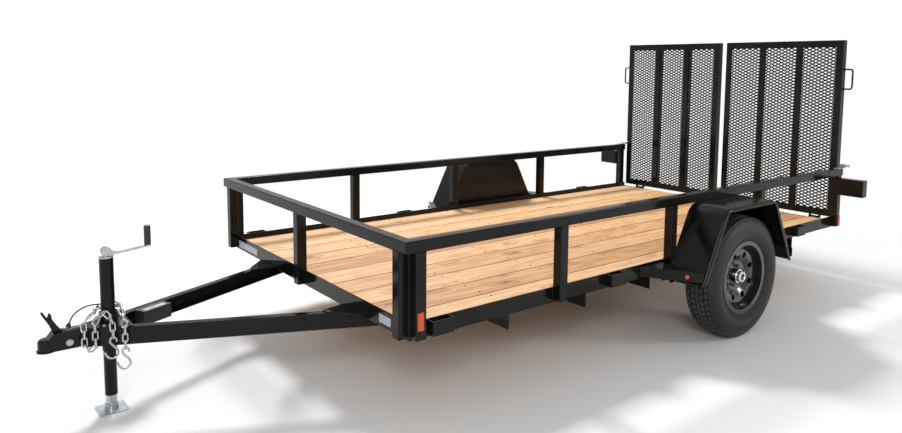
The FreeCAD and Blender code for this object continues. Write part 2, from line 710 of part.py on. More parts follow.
def bent_bar(corners, bend, diameter):
    """A round bar along straight runs joined by tangent arcs."""
    corners = [point(*corner) for corner in corners]
    edges, start = [], corners[0]
    for before, corner, after in zip(corners, corners[1:], corners[2:]):
        one, two = (before - corner).normalize(), (after - corner).normalize()
        turn = math.pi - one.getAngle(two)
        reach = bend * math.tan(turn / 2)
        enter, leave = corner + one * reach, corner + two * reach
        middle = corner + (one + two).normalize() * (bend / math.cos(turn / 2) - bend)
        if (enter - start).Length > ROUND:
            edges.append(Part.LineSegment(start, enter).toShape())
        edges.append(Part.Arc(enter, middle, leave).toShape())
        start = leave
    edges.append(Part.LineSegment(start, corners[-1]).toShape())
    ring = Part.makeCircle(float(diameter) / 2, corners[0], corners[1] - corners[0])
    return Part.Wire(edges).makePipeShell([Part.Wire([ring])], True, True)


def rod(start, radius, length, way):
    return Part.makeCylinder(float(radius), float(length), point(*start), way)


drop_in, drop_out = float(frame_side) + 25, float(frame_side) + 95
axle_end = drop_out + 40
axle_corners = [(axle_line, -axle_end, axle_high), (axle_line, -drop_out, axle_high),
                (axle_line, -drop_in, tube_z), (axle_line, drop_in, tube_z),
                (axle_line, drop_out, axle_high), (axle_line, axle_end, axle_high)]
axle_bore = axle_radius - float(cell("axle_wall"))
axle = bent_bar(axle_corners, axle_radius * 2, axle_radius * 2)
axle = axle.cut(bent_bar(axle_corners, axle_radius * 2, axle_bore * 2))
for side in (-1, 1):
    start = (axle_line, side * (axle_end - 10), axle_high)
    axle = axle.fuse([rod(start, spindle_radius, 90, across * side),
                      rod(start, axle_radius, 12, across * side)])
keep(shaped("axle", axle))

# Springs: four arched leaves with rolled eyes, clamped to the axle by a plate and four rods

LEAVES, LEAF_BITE = 4, 0.4
leaf_thick, leaf_wide = float(cell("leaf_thick")), float(cell("spring_width"))
spring_half, eye_radius = float(cell("spring_half")), float(cell("eye_radius"))
spring_low = tube_z + axle_radius + float(seat_gap)
spring_in = float(inside_legs) + 3
eye_z = float(frame_bottom) - float(post)
main_low = spring_low + leaf_thick * (LEAVES - 1)
arch = eye_z - eye_radius - LEAF_BITE - main_low


def leaf(number):
    """An arched leaf: the lowest is the shortest, and the top one reaches both eyes."""
    reach = spring_half * (number + 1) / LEAVES
    rise = arch * (reach / spring_half) ** 2
    top = spring_low + leaf_thick * (number + 1)
    curves = []
    for height in (top - leaf_thick - (LEAF_BITE if number else 0), top):
        ends = [Vector(axle_line + side * reach, spring_in, height + rise) for side in (-1, 1)]
        curves.append(Part.Arc(ends[0], Vector(axle_line, spring_in, height), ends[1]).toShape())
    caps = [Part.makeLine(curves[0].Vertexes[i].Point, curves[1].Vertexes[i].Point) for i in (0, 1)]
    outline = Part.Wire(Part.__sortEdges__(curves + caps))
    return Part.Face(outline).extrude(across * leaf_wide)


spring = leaf(0).fuse([leaf(number) for number in range(1, LEAVES)])
eye_bore = eye_radius - leaf_thick
for side in (-1, 1):
    eye = (axle_line + side * spring_half, spring_in, eye_z)
    spring = spring.fuse(rod(eye, eye_radius, leaf_wide, across))
    spring = spring.cut(rod(eye, eye_bore, leaf_wide, across))
clamp_rod = float(cell("clamp_rod"))
clamp_x = axle_radius + clamp_rod / 2 + NEAR
clamp_low = tube_z - axle_radius - float(seat_gap) - clamp_rod
clamp_top = spring_low + leaf_thick * LEAVES
clamp_half = clamp_x + clamp_rod
clamp_in, clamp_wide = spring_in - clamp_rod * 1.5, leaf_wide + clamp_rod * 3
clamp = [Part.makeBox(clamp_half * 2, clamp_wide, clamp_rod,
                      Vector(axle_line - clamp_half, clamp_in, low)) for low in (clamp_low, clamp_top)]
for side in (-1, 1):
    for rod_y in (clamp_in + clamp_rod * 0.75, clamp_in + clamp_wide - clamp_rod * 0.75):
        clamp.append(rod((axle_line + side * clamp_x, rod_y, clamp_low - clamp_rod), clamp_rod / 2,
                         clamp_top - clamp_low + clamp_rod * 3, Vector(0, 0, 1)))
pair(shaped("spring_left", spring.fuse(clamp)), "spring")

# Hangers: two cheeks and a pin at each spring eye, hung from a plate under the frame
cheek = float(angle_wall)
hanger_in, hanger_wide = spring_in - cheek - NEAR, leaf_wide + (cheek + NEAR) * 2
hanger_half = eye_radius + 6
hangers = []
for side in (-1, 1):
    eye_x = axle_line + side * spring_half
    hanger = Part.makeBox(hanger_half * 2, hanger_wide, cheek,
                          Vector(eye_x - hanger_half, hanger_in, float(frame_bottom) - cheek))
    for low_y in (hanger_in, hanger_in + hanger_wide - cheek):
        hanger = hanger.fuse(Part.makeBox(hanger_half * 2, cheek,
                                          float(frame_bottom) - eye_z + hanger_half,
                                          Vector(eye_x - hanger_half, low_y, eye_z - hanger_half)))
    pin = rod((eye_x, hanger_in - cheek, eye_z), eye_bore - float(seat_gap),
              hanger_wide + cheek * 2, across)
    hangers.append(hanger.fuse(pin))
both(shaped("spring_hangers_left", Part.makeCompound(hangers)), "spring_hangers")

# Wheels: a faceted tyre casing, a pressed rim with windows and nuts, and a hub with a dust cap

TYRE_STEPS = 36
rim_radius, tyre_radius = float(cell("rim_radius")), float(cell("tyre_radius"))
half_tyre, half_rim = float(cell("tyre_width")) / 2, float(cell("rim_width")) / 2
rim_seat = rim_radius - 12.3
bead = (rim_seat + float(seat_gap)) / math.cos(math.pi / TYRE_STEPS)


def facet(corners):
    return Part.Face(Part.makePolygon(corners + corners[:1]))


def from_rings(rings, closed):
    """A solid with a flat side from each side of a ring to the next ring's."""
    count = len(rings[0])
    following = rings[1:] + rings[:1] if closed else rings[1:]
    faces = [facet([one[i], one[(i + 1) % count], two[(i + 1) % count], two[i]])
             for one, two in zip(rings, following) for i in range(count)]
    if not closed:
        faces += [facet(rings[0]), facet(rings[-1])]
    shell = Part.makeShell(faces)
    shell.sewShape()
    made = Part.makeSolid(shell)
    if made.Volume < 0:
        made.reverse()
    return made


def turned(profile):
    """A ring turned about the wheel's axis from (radius, sideways) points."""
    face = facet([Vector(axle_line + radius, track + aside, axle_high) for radius, aside in profile])
    return face.revolve(Vector(axle_line, 0, axle_high), across, 360)


def around(count, radius, turn=0.0):
    """Even places round the wheel's axis, as x and z."""
    angles = [2 * math.pi * (step + turn) / count for step in range(count)]
    return [(axle_line + radius * math.cos(angle), axle_high + radius * math.sin(angle))
            for angle in angles]


half_outside = [(bead, half_rim - 0.5), (rim_radius + 5, half_rim - 0.5),
                (rim_radius + 38, half_tyre - 4), (rim_radius + 70, half_tyre),
                (tyre_radius - 24, half_tyre - 12), (tyre_radius - 5, half_tyre - 28),
                (tyre_radius, half_tyre - 60)]
half_inside = [(tyre_radius - 18, half_tyre - 50), (rim_radius + 60, half_tyre - 12),
               (bead, half_rim - 16)]
tyre_profile = half_outside + [(radius, -aside) for radius, aside in reversed(half_outside)]
tyre_profile += [(radius, -aside) for radius, aside in reversed(half_inside)] + half_inside
rings = []
for step in range(TYRE_STEPS):
    angle = 2 * math.pi * step / TYRE_STEPS
    rings.append([Vector(axle_line + radius * math.cos(angle), track + aside,
                         axle_high + radius * math.sin(angle)) for radius, aside in tyre_profile])
pair(shaped("tyre_left", from_rings(rings, True)), "tyre")

pilot = float(cell("pilot_radius"))
rim_well = rim_seat - 7.7
DISC_THICK, WINDOWS, NUTS = 5, 8, 5
disc_front = [(pilot, 24), (85, 24), (95, 30), (120, 42), (150, 44), (rim_well, 36)]
disc_back = [(radius, aside - DISC_THICK) for radius, aside in reversed(disc_front)]
rim_profile = [(rim_seat, -half_rim), (rim_radius + 4, -half_rim - 1), (rim_radius + 4, -half_rim - 4),
               (rim_well, -half_rim - 4), *disc_back, *disc_front, (rim_well, half_rim + 4),
               (rim_radius + 4, half_rim + 4), (rim_radius + 4, half_rim + 1), (rim_seat, half_rim)]
rim = turned(rim_profile)
rim = rim.cut([rod((x, track, z), cell("window_radius"), half_rim, across)
               for x, z in around(WINDOWS, float(cell("window_circle")), 0.5)])
nut_radius, nut_low = float(cell("nut_radius")), track + disc_front[0][1] - NEAR
for x, z in around(NUTS, float(cell("nut_circle")), 0.25):
    hexagon = [Vector(x + nut_radius * math.cos(math.pi * side / 3), nut_low,
                      z + nut_radius * math.sin(math.pi * side / 3)) for side in range(6)]
    rim = rim.fuse(facet(hexagon).extrude(across * 19))
pair(shaped("rim_left", rim), "rim")

spindle_bore = spindle_radius + 0.05
hub_face = disc_back[-1][1] - float(seat_gap)
hub_profile = [(spindle_bore, -25), (46, -25), (46, 5), (72, 5), (72, hub_face),
               (pilot - float(seat_gap), hub_face), (pilot - float(seat_gap), 44), (33, 44),
               (33, 62), (28, 68), (20, 68), (17, 63), (0, 63), (0, 58), (spindle_bore, 58)]
pair(shaped("hub_left", turned(hub_profile)), "hub")

# Gates: two angle frames with expanded mesh, on pins at the rear of the bed

gate_front_x = bed_rear - cell("gate_set_back")
gate_back_x = gate_front_x - gate_depth
gate_low, gate_top, gate_wall = cell("gate_low"), cell("gate_top"), cell("gate_wall")
gate_in = cell("gate_split") / 2
gate_out = frame_side - cell("gate_side_gap")
PANES = 3
bar_pitch = (gate_out - gate_in - gate_bar) / PANES
pin_x = gate_front_x - gate_depth / 2
pin_z = gate_low - cell("hinge_low")
pin_radius = cell("pin_diameter") / 2
bore_radius = pin_radius + cell("pin_gap")
sleeve_radius = bore_radius + cell("sleeve_wall")
sleeve_half = cell("sleeve_length") / 2
ear_gap, ear_wall = cell("ear_gap"), cell("ear_wall")
hinge_places = (gate_in + cell("hinge_inset"), gate_out - cell("hinge_inset"))

gate = body("gate_frame_left")
panels = [rectangle(gate_in + bar_pitch * number + gate_bar, gate_low + gate_bar,
                    gate_in + bar_pitch * (number + 1), gate_top - gate_bar)
          for number in range(PANES)]
whole = rectangle(gate_in, gate_low, gate_out, gate_top)
inside = rectangle(gate_in + gate_wall, gate_low + gate_wall, gate_out - gate_wall,
                   gate_top - gate_wall)
solid(gate, "Pad", "YZ_Plane", gate_front_x - gate_wall, gate_wall, [whole] + panels)
solid(gate, "Pad", "YZ_Plane", gate_back_x, gate_depth - gate_wall, [whole, inside])
for number in range(1, PANES):
    rib_y = gate_in + bar_pitch * number
    solid(gate, "Pad", "YZ_Plane", gate_back_x, gate_depth - gate_wall,
          [rectangle(rib_y, gate_low + gate_wall, rib_y + gate_wall, gate_top - gate_wall)])
for hinge_y in hinge_places:
    for side in (-1, 1):
        ear_near = hinge_y + side * (sleeve_half + ear_gap)
        ear_low_y = ear_near - (ear_wall if side < 0 else 0)
        solid(gate, "Pad", "XZ_Plane", ear_low_y, ear_wall,
              [rectangle(pin_x - sleeve_radius, pin_z, pin_x + sleeve_radius, gate_low)])
        solid(gate, "Pad", "XZ_Plane", ear_low_y, ear_wall, (), [(pin_x, pin_z, sleeve_radius)])
solid(gate, "Pocket", "XZ_Plane", gate_in, gate_out - gate_in, (), [(pin_x, pin_z, bore_radius)])
pair(gate, "gate_frame")

pin_half = sleeve_half + ear_gap + ear_wall + 4
lug_half = sleeve_radius / 2
pins, sleeves = [], []
for number, hinge_y in enumerate(hinge_places):
    pin = body(f"gate_pin_{number}")
    solid(pin, "Pad", "XZ_Plane", hinge_y - pin_half, pin_half * 2, (), [(pin_x, pin_z, pin_radius)])
    pins.append(pin)
    one = body(f"gate_sleeve_{number}")
    solid(one, "Pad", "XZ_Plane", hinge_y - sleeve_half, sleeve_half * 2, (),
          [(pin_x, pin_z, sleeve_radius)])
    solid(one, "Pad", "XZ_Plane", hinge_y - sleeve_half, sleeve_half * 2,
          [rectangle(pin_x, pin_z - lug_half, bed_rear, pin_z + lug_half)])
    solid(one, "Pocket", "XZ_Plane", hinge_y - sleeve_half, sleeve_half * 2, (),
          [(pin_x, pin_z, bore_radius)])
    sleeves.append(one)
pair(joined(pins, "gate_pins_left"), "gate_pins")
both(joined(sleeves, "gate_sleeves_left"), "gate_hinge_sleeves")

# Expanded mesh: one sheet behind each pane, pierced by staggered diamonds

mesh_thick = float(cell("mesh_thick"))
mesh_back = float(gate_front_x - gate_wall) - mesh_thick
COLUMNS, ROWS, STRAND = 2, 13, 6.0


def clipped(corners, axis, limit, sign):
    """The part of a flat outline on the inner side of a straight limit."""
    kept = []
    for one, two in zip(corners, corners[1:] + corners[:1]):
        one_in, two_in = sign * (one[axis] - limit) < 0, sign * (two[axis] - limit) < 0
        if one_in:
            kept.append(one)
        if one_in != two_in:
            share = (limit - one[axis]) / (two[axis] - one[axis])
            kept.append(tuple(one[i] + share * (two[i] - one[i]) for i in (0, 1)))
    return kept


def pane(low_y, high_y, low_z, high_z):
    """A thin sheet with diamonds at an even pitch, cut off near its own border."""
    wide, tall = (high_y - low_y) / COLUMNS, (high_z - low_z) / ROWS
    limits = ((0, low_y + STRAND, -1), (0, high_y - STRAND, 1), (1, low_z + STRAND, -1),
              (1, high_z - STRAND, 1))
    flat = [rectangle(low_y, low_z, high_y, high_z)]
    for column in range(COLUMNS * 2 + 1):
        for row in range(ROWS + 1):
            mid_y, mid_z = low_y + wide * column / 2, low_z + tall * (row + column % 2 / 2)
            half_wide, half_tall = wide / 2 - STRAND, tall / 2 - STRAND
            diamond = [(mid_y - half_wide, mid_z), (mid_y, mid_z - half_tall),
                       (mid_y + half_wide, mid_z), (mid_y, mid_z + half_tall)]
            for axis, limit, sign in limits:
                diamond = clipped(diamond, axis, limit, sign)
            if len(diamond) > 2:
                flat.append(diamond)
    wires = [Part.makePolygon([Vector(mesh_back, y, z) for y, z in outline + outline[:1]])
             for outline in flat]
    return Part.makeFace(wires, "Part::FaceMakerBullseye").extrude(Vector(mesh_thick, 0, 0))


panes = []
for number in range(PANES):
    left = gate_in + bar_pitch * number + gate_wall
    right = gate_in + bar_pitch * (number + 1) if number < PANES - 1 else gate_out - gate_wall
    panes.append(pane(float(left), float(right), float(gate_low + gate_wall),
                      float(gate_top - gate_wall)))
pair(shaped("gate_mesh_left", Part.makeCompound(panes)), "gate_mesh")

handle_low = gate_low + cell("handle_low")
handle_high, handle_far = handle_low + cell("handle_tall"), gate_out + cell("handle_reach")
HANDLE_BEND = 18
handle = bent_bar([(pin_x, gate_out, handle_low), (pin_x, handle_far, handle_low),
                   (pin_x, handle_far, handle_high), (pin_x, gate_out, handle_high)], HANDLE_BEND,
                  cell("handle_rod"))
pair(shaped("gate_handle_left", handle), "gate_handle")

# Gate latches: a spring barrel on a plate on the rail's end, its bolt beside the gate
latch_out = float(post_face) - 4
latch_in = latch_out - 34
PLATE_THICK, BARREL, BOLT = 5, 11, 6
barrel_z = rail_top + PLATE_THICK + BARREL
plate = Part.makeBox(float(bed_rear - pin_x) + 76, latch_out - latch_in, PLATE_THICK,
                     point(pin_x - 16, latch_in, rail_top))
barrel = rod((pin_x, latch_in, barrel_z), BARREL, latch_out - latch_in, across)
bolt = rod((pin_x, latch_in - 4, barrel_z), BOLT, latch_out - latch_in + 28, across)
knob = rod((pin_x, latch_out + 18, barrel_z), BARREL - 1, 9, across)
both(shaped("latch_left", plate.fuse([barrel, bolt, knob])), "gate_latches")

# Safety chain: flat-sided links end to end on a bent line, joined where they bear on each other.
# It wraps the jack's tube, hangs over the left rail in a bight and ends in two hooks.

chain_wire, chain_pitch = float(cell("chain_wire")), float(cell("chain_pitch"))
chain_wide = float(cell("chain_wide"))
CHAIN_BITE = 0.5


def mitred_bar(path, normal, half_thick, closed):
    """A square bar along a flat path of corners, mitred at each of them."""
    rings = []
    count = len(path)
    for i in range(count):
        before = path[i] - path[i - 1] if closed or i else path[1] - path[0]
        after = path[(i + 1) % count] - path[i] if closed or i < count - 1 else before
        one, two = before.normalize().cross(normal), after.normalize().cross(normal)
        aside = (one + two) * (1 / (1 + one.dot(two)))
        rings.append([path[i] + (aside * a + normal * b) * half_thick
                      for a, b in ((-1, -1), (1, -1), (1, 1), (-1, 1))])
    return from_rings(rings, closed)


def link(start, end, facing):
    """An eight-cornered link that reaches from one bearing point to the next."""
    along = (end - start).normalize()
    wide = (facing - along * facing.dot(along)).normalize()
    centre = (start + end) * 0.5
    reach = chain_pitch / 2 + chain_wire / 2 - CHAIN_BITE / 2
    half = chain_wide / 2
    corners = [(reach - half, -half), (reach, -half * 0.58), (reach, half * 0.58), (reach - half, half)]
    corners += [(-x, -y) for x, y in corners]
    path = [centre + along * x + wide * y for x, y in corners]
    return mitred_bar(path, along.cross(wide), chain_wire / 2, True)


def bearing_points(route):
    """Points one link's pitch apart, stepped along a line of straight runs."""
    found, run, at = [route[0]], 0, route[0]
    while run < len(route) - 1:
        if (route[run + 1] - at).Length < chain_pitch:
            run += 1
            continue
        start = route[run]
        way = (route[run + 1] - start).normalize()
        offset, gap = (start - at).dot(way), (start - at).Length
        at = start + way * (math.sqrt(offset ** 2 - gap ** 2 + chain_pitch ** 2) - offset)
        found.append(at)
    return found


def chain(route):
    """Links turned a quarter from each other, an odd number of them, and the chain's two ends."""
    marks = bearing_points([point(*corner) for corner in route])
    marks = marks[:len(marks) // 2 * 2]
    links = []
    for number, (start, end) in enumerate(zip(marks, marks[1:])):
        along = end - start
        flat = Vector(1, 0, 0) if abs(along.x) < 0.8 * along.Length else across
        links.append(link(start, end, flat if number % 2 else along.cross(flat)))
    return links, (marks[0], marks[-1])


HOOK = [(-12, -22), (-15, -10), (-6, 0), (8, 0), (15, -12), (10, -28), (-10, -48), (-19, -64),
        (-16, -82), (-2, -92), (16, -90), (29, -76), (34, -58)]


def hook(top):
    """An S hook that hangs from the chain's end, its lower loop open to the front."""
    path = [top + Vector(along, 0, up + chain_wire * 0.4) for along, up in HOOK]
    return mitred_bar(path, across, chain_wire * 0.6, False)


link_half = (chain_wide + chain_wire) / 2
ledge = float(collar_top) + link_half + 3
wrap = float(jack_radius) + link_half + 6


def over_rail(ahead_of_jack, low):
    """The corners where a strand turns over the left rail's edge and hangs beside it."""
    x = jack_x + ahead_of_jack
    edge = tongue_edge(x)
    return [(x, edge - 6, plate_top + 27), (x, edge + 20, plate_top + 12), (x, edge + 20, low)]


half_turn = [(jack_x + wrap * math.cos(math.radians(turn)), wrap * math.sin(math.radians(turn)), ledge)
             for turn in range(-180, 1, 36)]
front_strand, back_strand = over_rail(104, 318), over_rail(66, 318)
bight = [((front_strand[2][0] + back_strand[2][0]) / 2,
          (front_strand[2][1] + back_strand[2][1]) / 2, 298)]
route = over_rail(-38, 303)[::-1] + [(jack_x - wrap + 4, 30, ledge)] + half_turn
route += [(jack_x + wrap + 8, 26, ledge)] + front_strand + bight + back_strand[::-1]
route += [(jack_x + 22, wrap + 3, ledge)] + over_rail(4, 330)
links, ends = chain(route)
links += [hook(end) for end in ends]
keep(shaped("safety_chains", links[0].fuse(links[1:])))

# Latch pin: a bent wire keeper that lies on the coupler's neck behind the latch
PIN_WIRE, PIN_LONG, PIN_WIDE = 5, 58, 18
pin_centre = point(latch_rear - PIN_LONG / 2 - 6, 0, plate_top + seat_gap + PIN_WIRE / 2)
pin_ring = [(PIN_LONG / 2 - 6, -PIN_WIDE / 2), (PIN_LONG / 2, -4), (PIN_LONG / 2, 4),
            (PIN_LONG / 2 - 6, PIN_WIDE / 2)]
pin_ring += [(-x, -y) for x, y in pin_ring]
keep(shaped("latch_pin", mitred_bar([pin_centre + Vector(x, y, 0) for x, y in pin_ring],
                                    Vector(0, 0, 1), PIN_WIRE / 2, True)))

# Document box: a moulded tub with a hinged lid, held inside the right tongue rail

box_long, box_wide = float(cell("box_long")), float(cell("box_wide"))
box_tall, box_wall, gap = float(cell("box_tall")), float(cell("box_wall")), float(seat_gap)
BARREL_RADIUS, BARREL_IN, LID_THICK, BOX_ROUND = 3.0, 9.0, 3.0, 4.0
box_low = float(channel_top) - box_tall - LID_THICK
box_rear = plate_back - cell("box_gap") - cell("box_long") * cosine(cell("tongue_angle"))
box_corner = point(box_rear, seat_gap - tongue_edge(box_rear, flange), box_low)
box_turn = Rotation(Vector(0, 0, 1), float(cell("tongue_angle")))
case = Part.makeBox(box_long, box_wide, box_tall)
rounded = [edge for edge in case.Edges if edge.CenterOfMass.z < NEAR
           or (edge.CenterOfMass.y > box_wide - NEAR and edge.CenterOfMass.z < box_tall - NEAR)]
case = case.makeFillet(BOX_ROUND, rounded)
case = case.cut(Part.makeBox(box_long - box_wall * 2, box_wide - box_wall * 2, box_tall,
                             Vector(box_wall, box_wall, box_wall)))
strip = Part.makeBox(box_long, BARREL_IN - BARREL_RADIUS - gap * 2, BARREL_RADIUS,
                     Vector(0, 0, box_tall))
barrel_up = box_tall + BARREL_RADIUS + gap
lid = Part.makeBox(box_long - 4, box_wide + 2 - BARREL_IN, LID_THICK,
                   Vector(2, BARREL_IN, barrel_up - LID_THICK / 2))
lid = lid.fuse(rod((2, BARREL_IN, barrel_up), BARREL_RADIUS, box_long - 4, Vector(1, 0, 0)))
for piece, label in ((case.fuse(strip), "document_box"), (lid, "document_box_lid")):
    piece = piece.removeSplitter()
    piece.Placement = Placement(box_corner, box_turn)
    made = doc.addObject("Part::Feature", label)
    made.Shape = piece
    keep(made)

# Lamp lead: a short tail that leaves the jack's tube and drops to its plug on the coupler

lead_diameter = cell("lead_diameter")
lead_z = ledge + link_half + float(lead_diameter)
lead_corners = [(jack_x + jack_radius + 0.7, 0, lead_z), (jack_x + 60, 0, lead_z + 4),
                (jack_x + 90, 0, lead_z), (jack_x + 118, 0, lead_z - 13),
                (jack_x + 140, 0, lead_z - 34), (jack_x + 148, 0, plate_top + 26)]
LEAD_BEND, BOOT_LONG, PLUG_LONG, PLUG_RADIUS = 22, 12, 5, 10
keep(shaped("lamp_lead", bent_bar(lead_corners, LEAD_BEND, lead_diameter)))
lead_end = point(*lead_corners[-1])
lead_way = (lead_end - point(*lead_corners[-2])).normalize()
boot = Part.makeCone(float(lead_diameter) / 2 + 1, PLUG_RADIUS, BOOT_LONG, lead_end, lead_way)
plug = Part.makeCylinder(PLUG_RADIUS, PLUG_LONG, lead_end + lead_way * BOOT_LONG, lead_way)
keep(shaped("lamp_plug", boot.fuse(plug)))

doc.recompute()
failed = [made.Label for made in doc.Objects if "Invalid" in made.State or "Error" in made.State]
if failed:
    raise RuntimeError(f"objects failed: {failed}")
os.makedirs("parts", exist_ok=True)
for node in nodes:
    shape = node.Shape
    if shape.isNull() or not shape.isValid():
        raise RuntimeError(f"{node.Label} is not a valid shape")
    shape.exportStep(f"parts/{node.Label}.step")
    print(node.Label, len(shape.Solids), round(shape.Volume / 1e3, 1), "cm3")
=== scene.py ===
import math

import bpy
from mathutils import Matrix, Vector


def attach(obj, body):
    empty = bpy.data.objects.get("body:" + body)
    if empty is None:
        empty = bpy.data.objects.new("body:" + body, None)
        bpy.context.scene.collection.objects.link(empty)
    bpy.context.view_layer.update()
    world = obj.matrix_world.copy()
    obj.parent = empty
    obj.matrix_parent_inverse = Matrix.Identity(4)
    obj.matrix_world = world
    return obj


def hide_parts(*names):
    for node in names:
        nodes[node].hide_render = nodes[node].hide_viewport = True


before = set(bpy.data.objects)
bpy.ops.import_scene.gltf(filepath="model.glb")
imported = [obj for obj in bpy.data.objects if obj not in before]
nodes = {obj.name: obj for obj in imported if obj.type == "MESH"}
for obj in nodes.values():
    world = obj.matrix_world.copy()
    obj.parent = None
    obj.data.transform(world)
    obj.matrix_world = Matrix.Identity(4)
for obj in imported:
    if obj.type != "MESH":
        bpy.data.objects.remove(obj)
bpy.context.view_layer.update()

bpy.ops.object.select_all(action="DESELECT")

# Viewpoint: a wide lens at head height off the trailer's left front corner, looking back along
# the bed. The sensor is shifted because the picture is a cropped one.

eye = (2.830, 3.336, 1.496)
view_turn, view_dip, view_roll = math.radians(231.17), math.radians(-5.62), math.radians(0.61)
bpy.ops.object.camera_add()
camera = bpy.context.object
camera.matrix_world = (Matrix.Translation(eye)
                       @ Matrix.Rotation(view_turn - math.pi / 2, 4, "Z")
                       @ Matrix.Rotation(view_dip + math.pi / 2, 4, "X")
                       @ Matrix.Rotation(view_roll, 4, "Z"))
camera.data.sensor_width = 36
camera.data.lens = 28.62
camera.data.shift_x = -0.0300
camera.data.shift_y = -0.0854
bpy.context.scene.camera = camera

# Floor and light: a pale floor that fades into a white background. The key lamp hangs high over
# the far side, a fill stands on the camera's side, and a low one behind lights the near flank.


class Socket:
    """A shader socket whose sums and products add Math nodes."""

    def __init__(self, tree, link):
        self.tree = tree
        self.link = link

    def node(self, kind, settings=None, result=0, **inputs):
        """Adds a node, sets it up, feeds its sockets, and returns one of its outputs."""
        made = self.tree.nodes.new(kind)
        for name, value in (settings or {}).items():
            if name == "stops":
                set_ramp(made.color_ramp, value)
            else:
                setattr(made, name, value)
        feed(made, inputs)
        return Socket(self.tree, made.outputs[result])

    def maths(self, operation, first, second=None):
        """A Math node on one or two sockets or numbers."""
        inputs = {"0": first} if second is None else {"0": first, "1": second}
        return self.node("ShaderNodeMath", {"operation": operation}, **inputs)

    def __add__(self, other):
        return self.maths("ADD", self, other)

    __radd__ = __add__

    def __sub__(self, other):
        return self.maths("SUBTRACT", self, other)

    def __rsub__(self, other):
        return self.maths("SUBTRACT", other, self)

    def __mul__(self, other):
        return self.maths("MULTIPLY", self, other)

    __rmul__ = __mul__

    def __truediv__(self, other):
        return self.maths("DIVIDE", self, other)

    def __pow__(self, other):
        return self.maths("POWER", self, other)

    def __gt__(self, other):
        return self.maths("GREATER_THAN", self, other)

    def __lt__(self, other):
        return self.maths("LESS_THAN", self, other)

    def axes(self):
        """The x, y and z of a vector socket."""
        made = self.tree.nodes.new("ShaderNodeSeparateXYZ")
        self.tree.links.new(self.link, made.inputs[0])
        return [Socket(self.tree, output) for output in made.outputs]


def set_ramp(ramp, stops):
    """Gives a colour ramp its stops, each a place and a colour."""
    while len(ramp.elements) < len(stops):
        ramp.elements.new(1.0)
    for element, (place, colour) in zip(ramp.elements, stops):
        element.position = place
        element.color = (*colour, 1.0)


def feed(made, inputs):
    """Sets or links a node's sockets by number, or by name with _ for a space."""
    for name, value in inputs.items():
        socket = made.inputs[int(name) if name.isdigit() else name.replace("_", " ")]
        if isinstance(value, Socket):
            made.id_data.links.new(value.link, socket)
        else:
            socket.default_value = value


def finish_surface(surface, **inputs):
    """Gives a material's Principled surface its colour, gloss and bumps."""
    feed(surface, inputs)


def new_material(name):
    """A material, its bare Principled surface, and the socket that its patterns start from."""
    made = bpy.data.materials.new(name)
    made.use_nodes = True
    tree = made.node_tree
    place = Socket(tree, tree.nodes.new("ShaderNodeTexCoord").outputs["Object"])
    return made, tree.nodes["Principled BSDF"], place


def ray_kinds(tree):
    """Whether a ray comes from the camera, off a glossy surface, or through a clear one."""
    paths = tree.nodes.new("ShaderNodeLightPath")
    return [Socket(tree, paths.outputs[f"Is {kind} Ray"])
            for kind in ("Camera", "Glossy", "Transmission")]


FADE_START, FADE_END = 1.9, 4.6
bpy.ops.mesh.primitive_plane_add(size=90)
floor = bpy.context.object
floor.name = "floor"
floor_paint, surface, place = new_material("pale_floor")
finish_surface(surface, Base_Color=(0.84, 0.84, 0.84, 1), Roughness=0.9, Specular_IOR_Level=0.1)
tree = floor_paint.node_tree
camera_ray, glossy_ray, clear_ray = ray_kinds(tree)
far = place.node("ShaderNodeVectorMath", {"operation": "LENGTH"}, 1, **{"0": place})
fade = place.node("ShaderNodeMapRange", {"interpolation_type": "SMOOTHSTEP"}, Value=far,
                  From_Min=FADE_START, From_Max=FADE_END)
white = place.node("ShaderNodeEmission", Color=(1, 1, 1, 1), Strength=1.0)
seen = fade * (camera_ray + glossy_ray + clear_ray)
faded = place.node("ShaderNodeMixShader",
                   **{"0": seen, "1": Socket(tree, surface.outputs[0]), "2": white})
tree.links.new(faded.link, tree.nodes["Material Output"].inputs["Surface"])
floor.data.materials.append(floor_paint)

AMBIENT, GLOSS_GAIN = 0.5, 0.12
world = bpy.data.worlds.new("studio")
bpy.context.scene.world = world
world.use_nodes = True
camera_ray, glossy_ray, clear_ray = ray_kinds(world.node_tree)
strength = camera_ray * (1 - AMBIENT) + (glossy_ray + clear_ray) * GLOSS_GAIN + AMBIENT
feed(world.node_tree.nodes["Background"], {"Color": (1, 1, 1, 1), "Strength": strength})


def lamp(name, place, target, side, power):
    """A square lamp that faces its target."""
    bpy.ops.object.light_add(type="AREA", location=place)
    made = bpy.context.object
    made.name = name
    made.data.size = side
    made.data.energy = power
    made.rotation_euler = (Vector(target) - Vector(place)).to_track_quat("-Z", "Y").to_euler()


lamp("key", (-1.0, -4.5, 6.5), (0, 0, 0.4), side=1.6, power=620)
lamp("fill", (4.5, 5.5, 4.0), (0, 0, 0.5), side=2.0, power=130)
lamp("strip", (-4.0, 5.0, 2.2), (-0.6, 1.0, 0.5), side=1.2, power=70)

# Lamp lead: a stub of thin black cable that leaves the jack's tube over the chain, arches
# forward and drops to a moulded plug on the coupler.

lead_rubber, surface, place = new_material("lead_jacket")
wear = place.node("ShaderNodeTexNoise", Vector=place, Scale=90.0, Detail=4.0)
finish_surface(surface, Base_Color=(0.012, 0.012, 0.013, 1), Roughness=wear * 0.3 + 0.42)

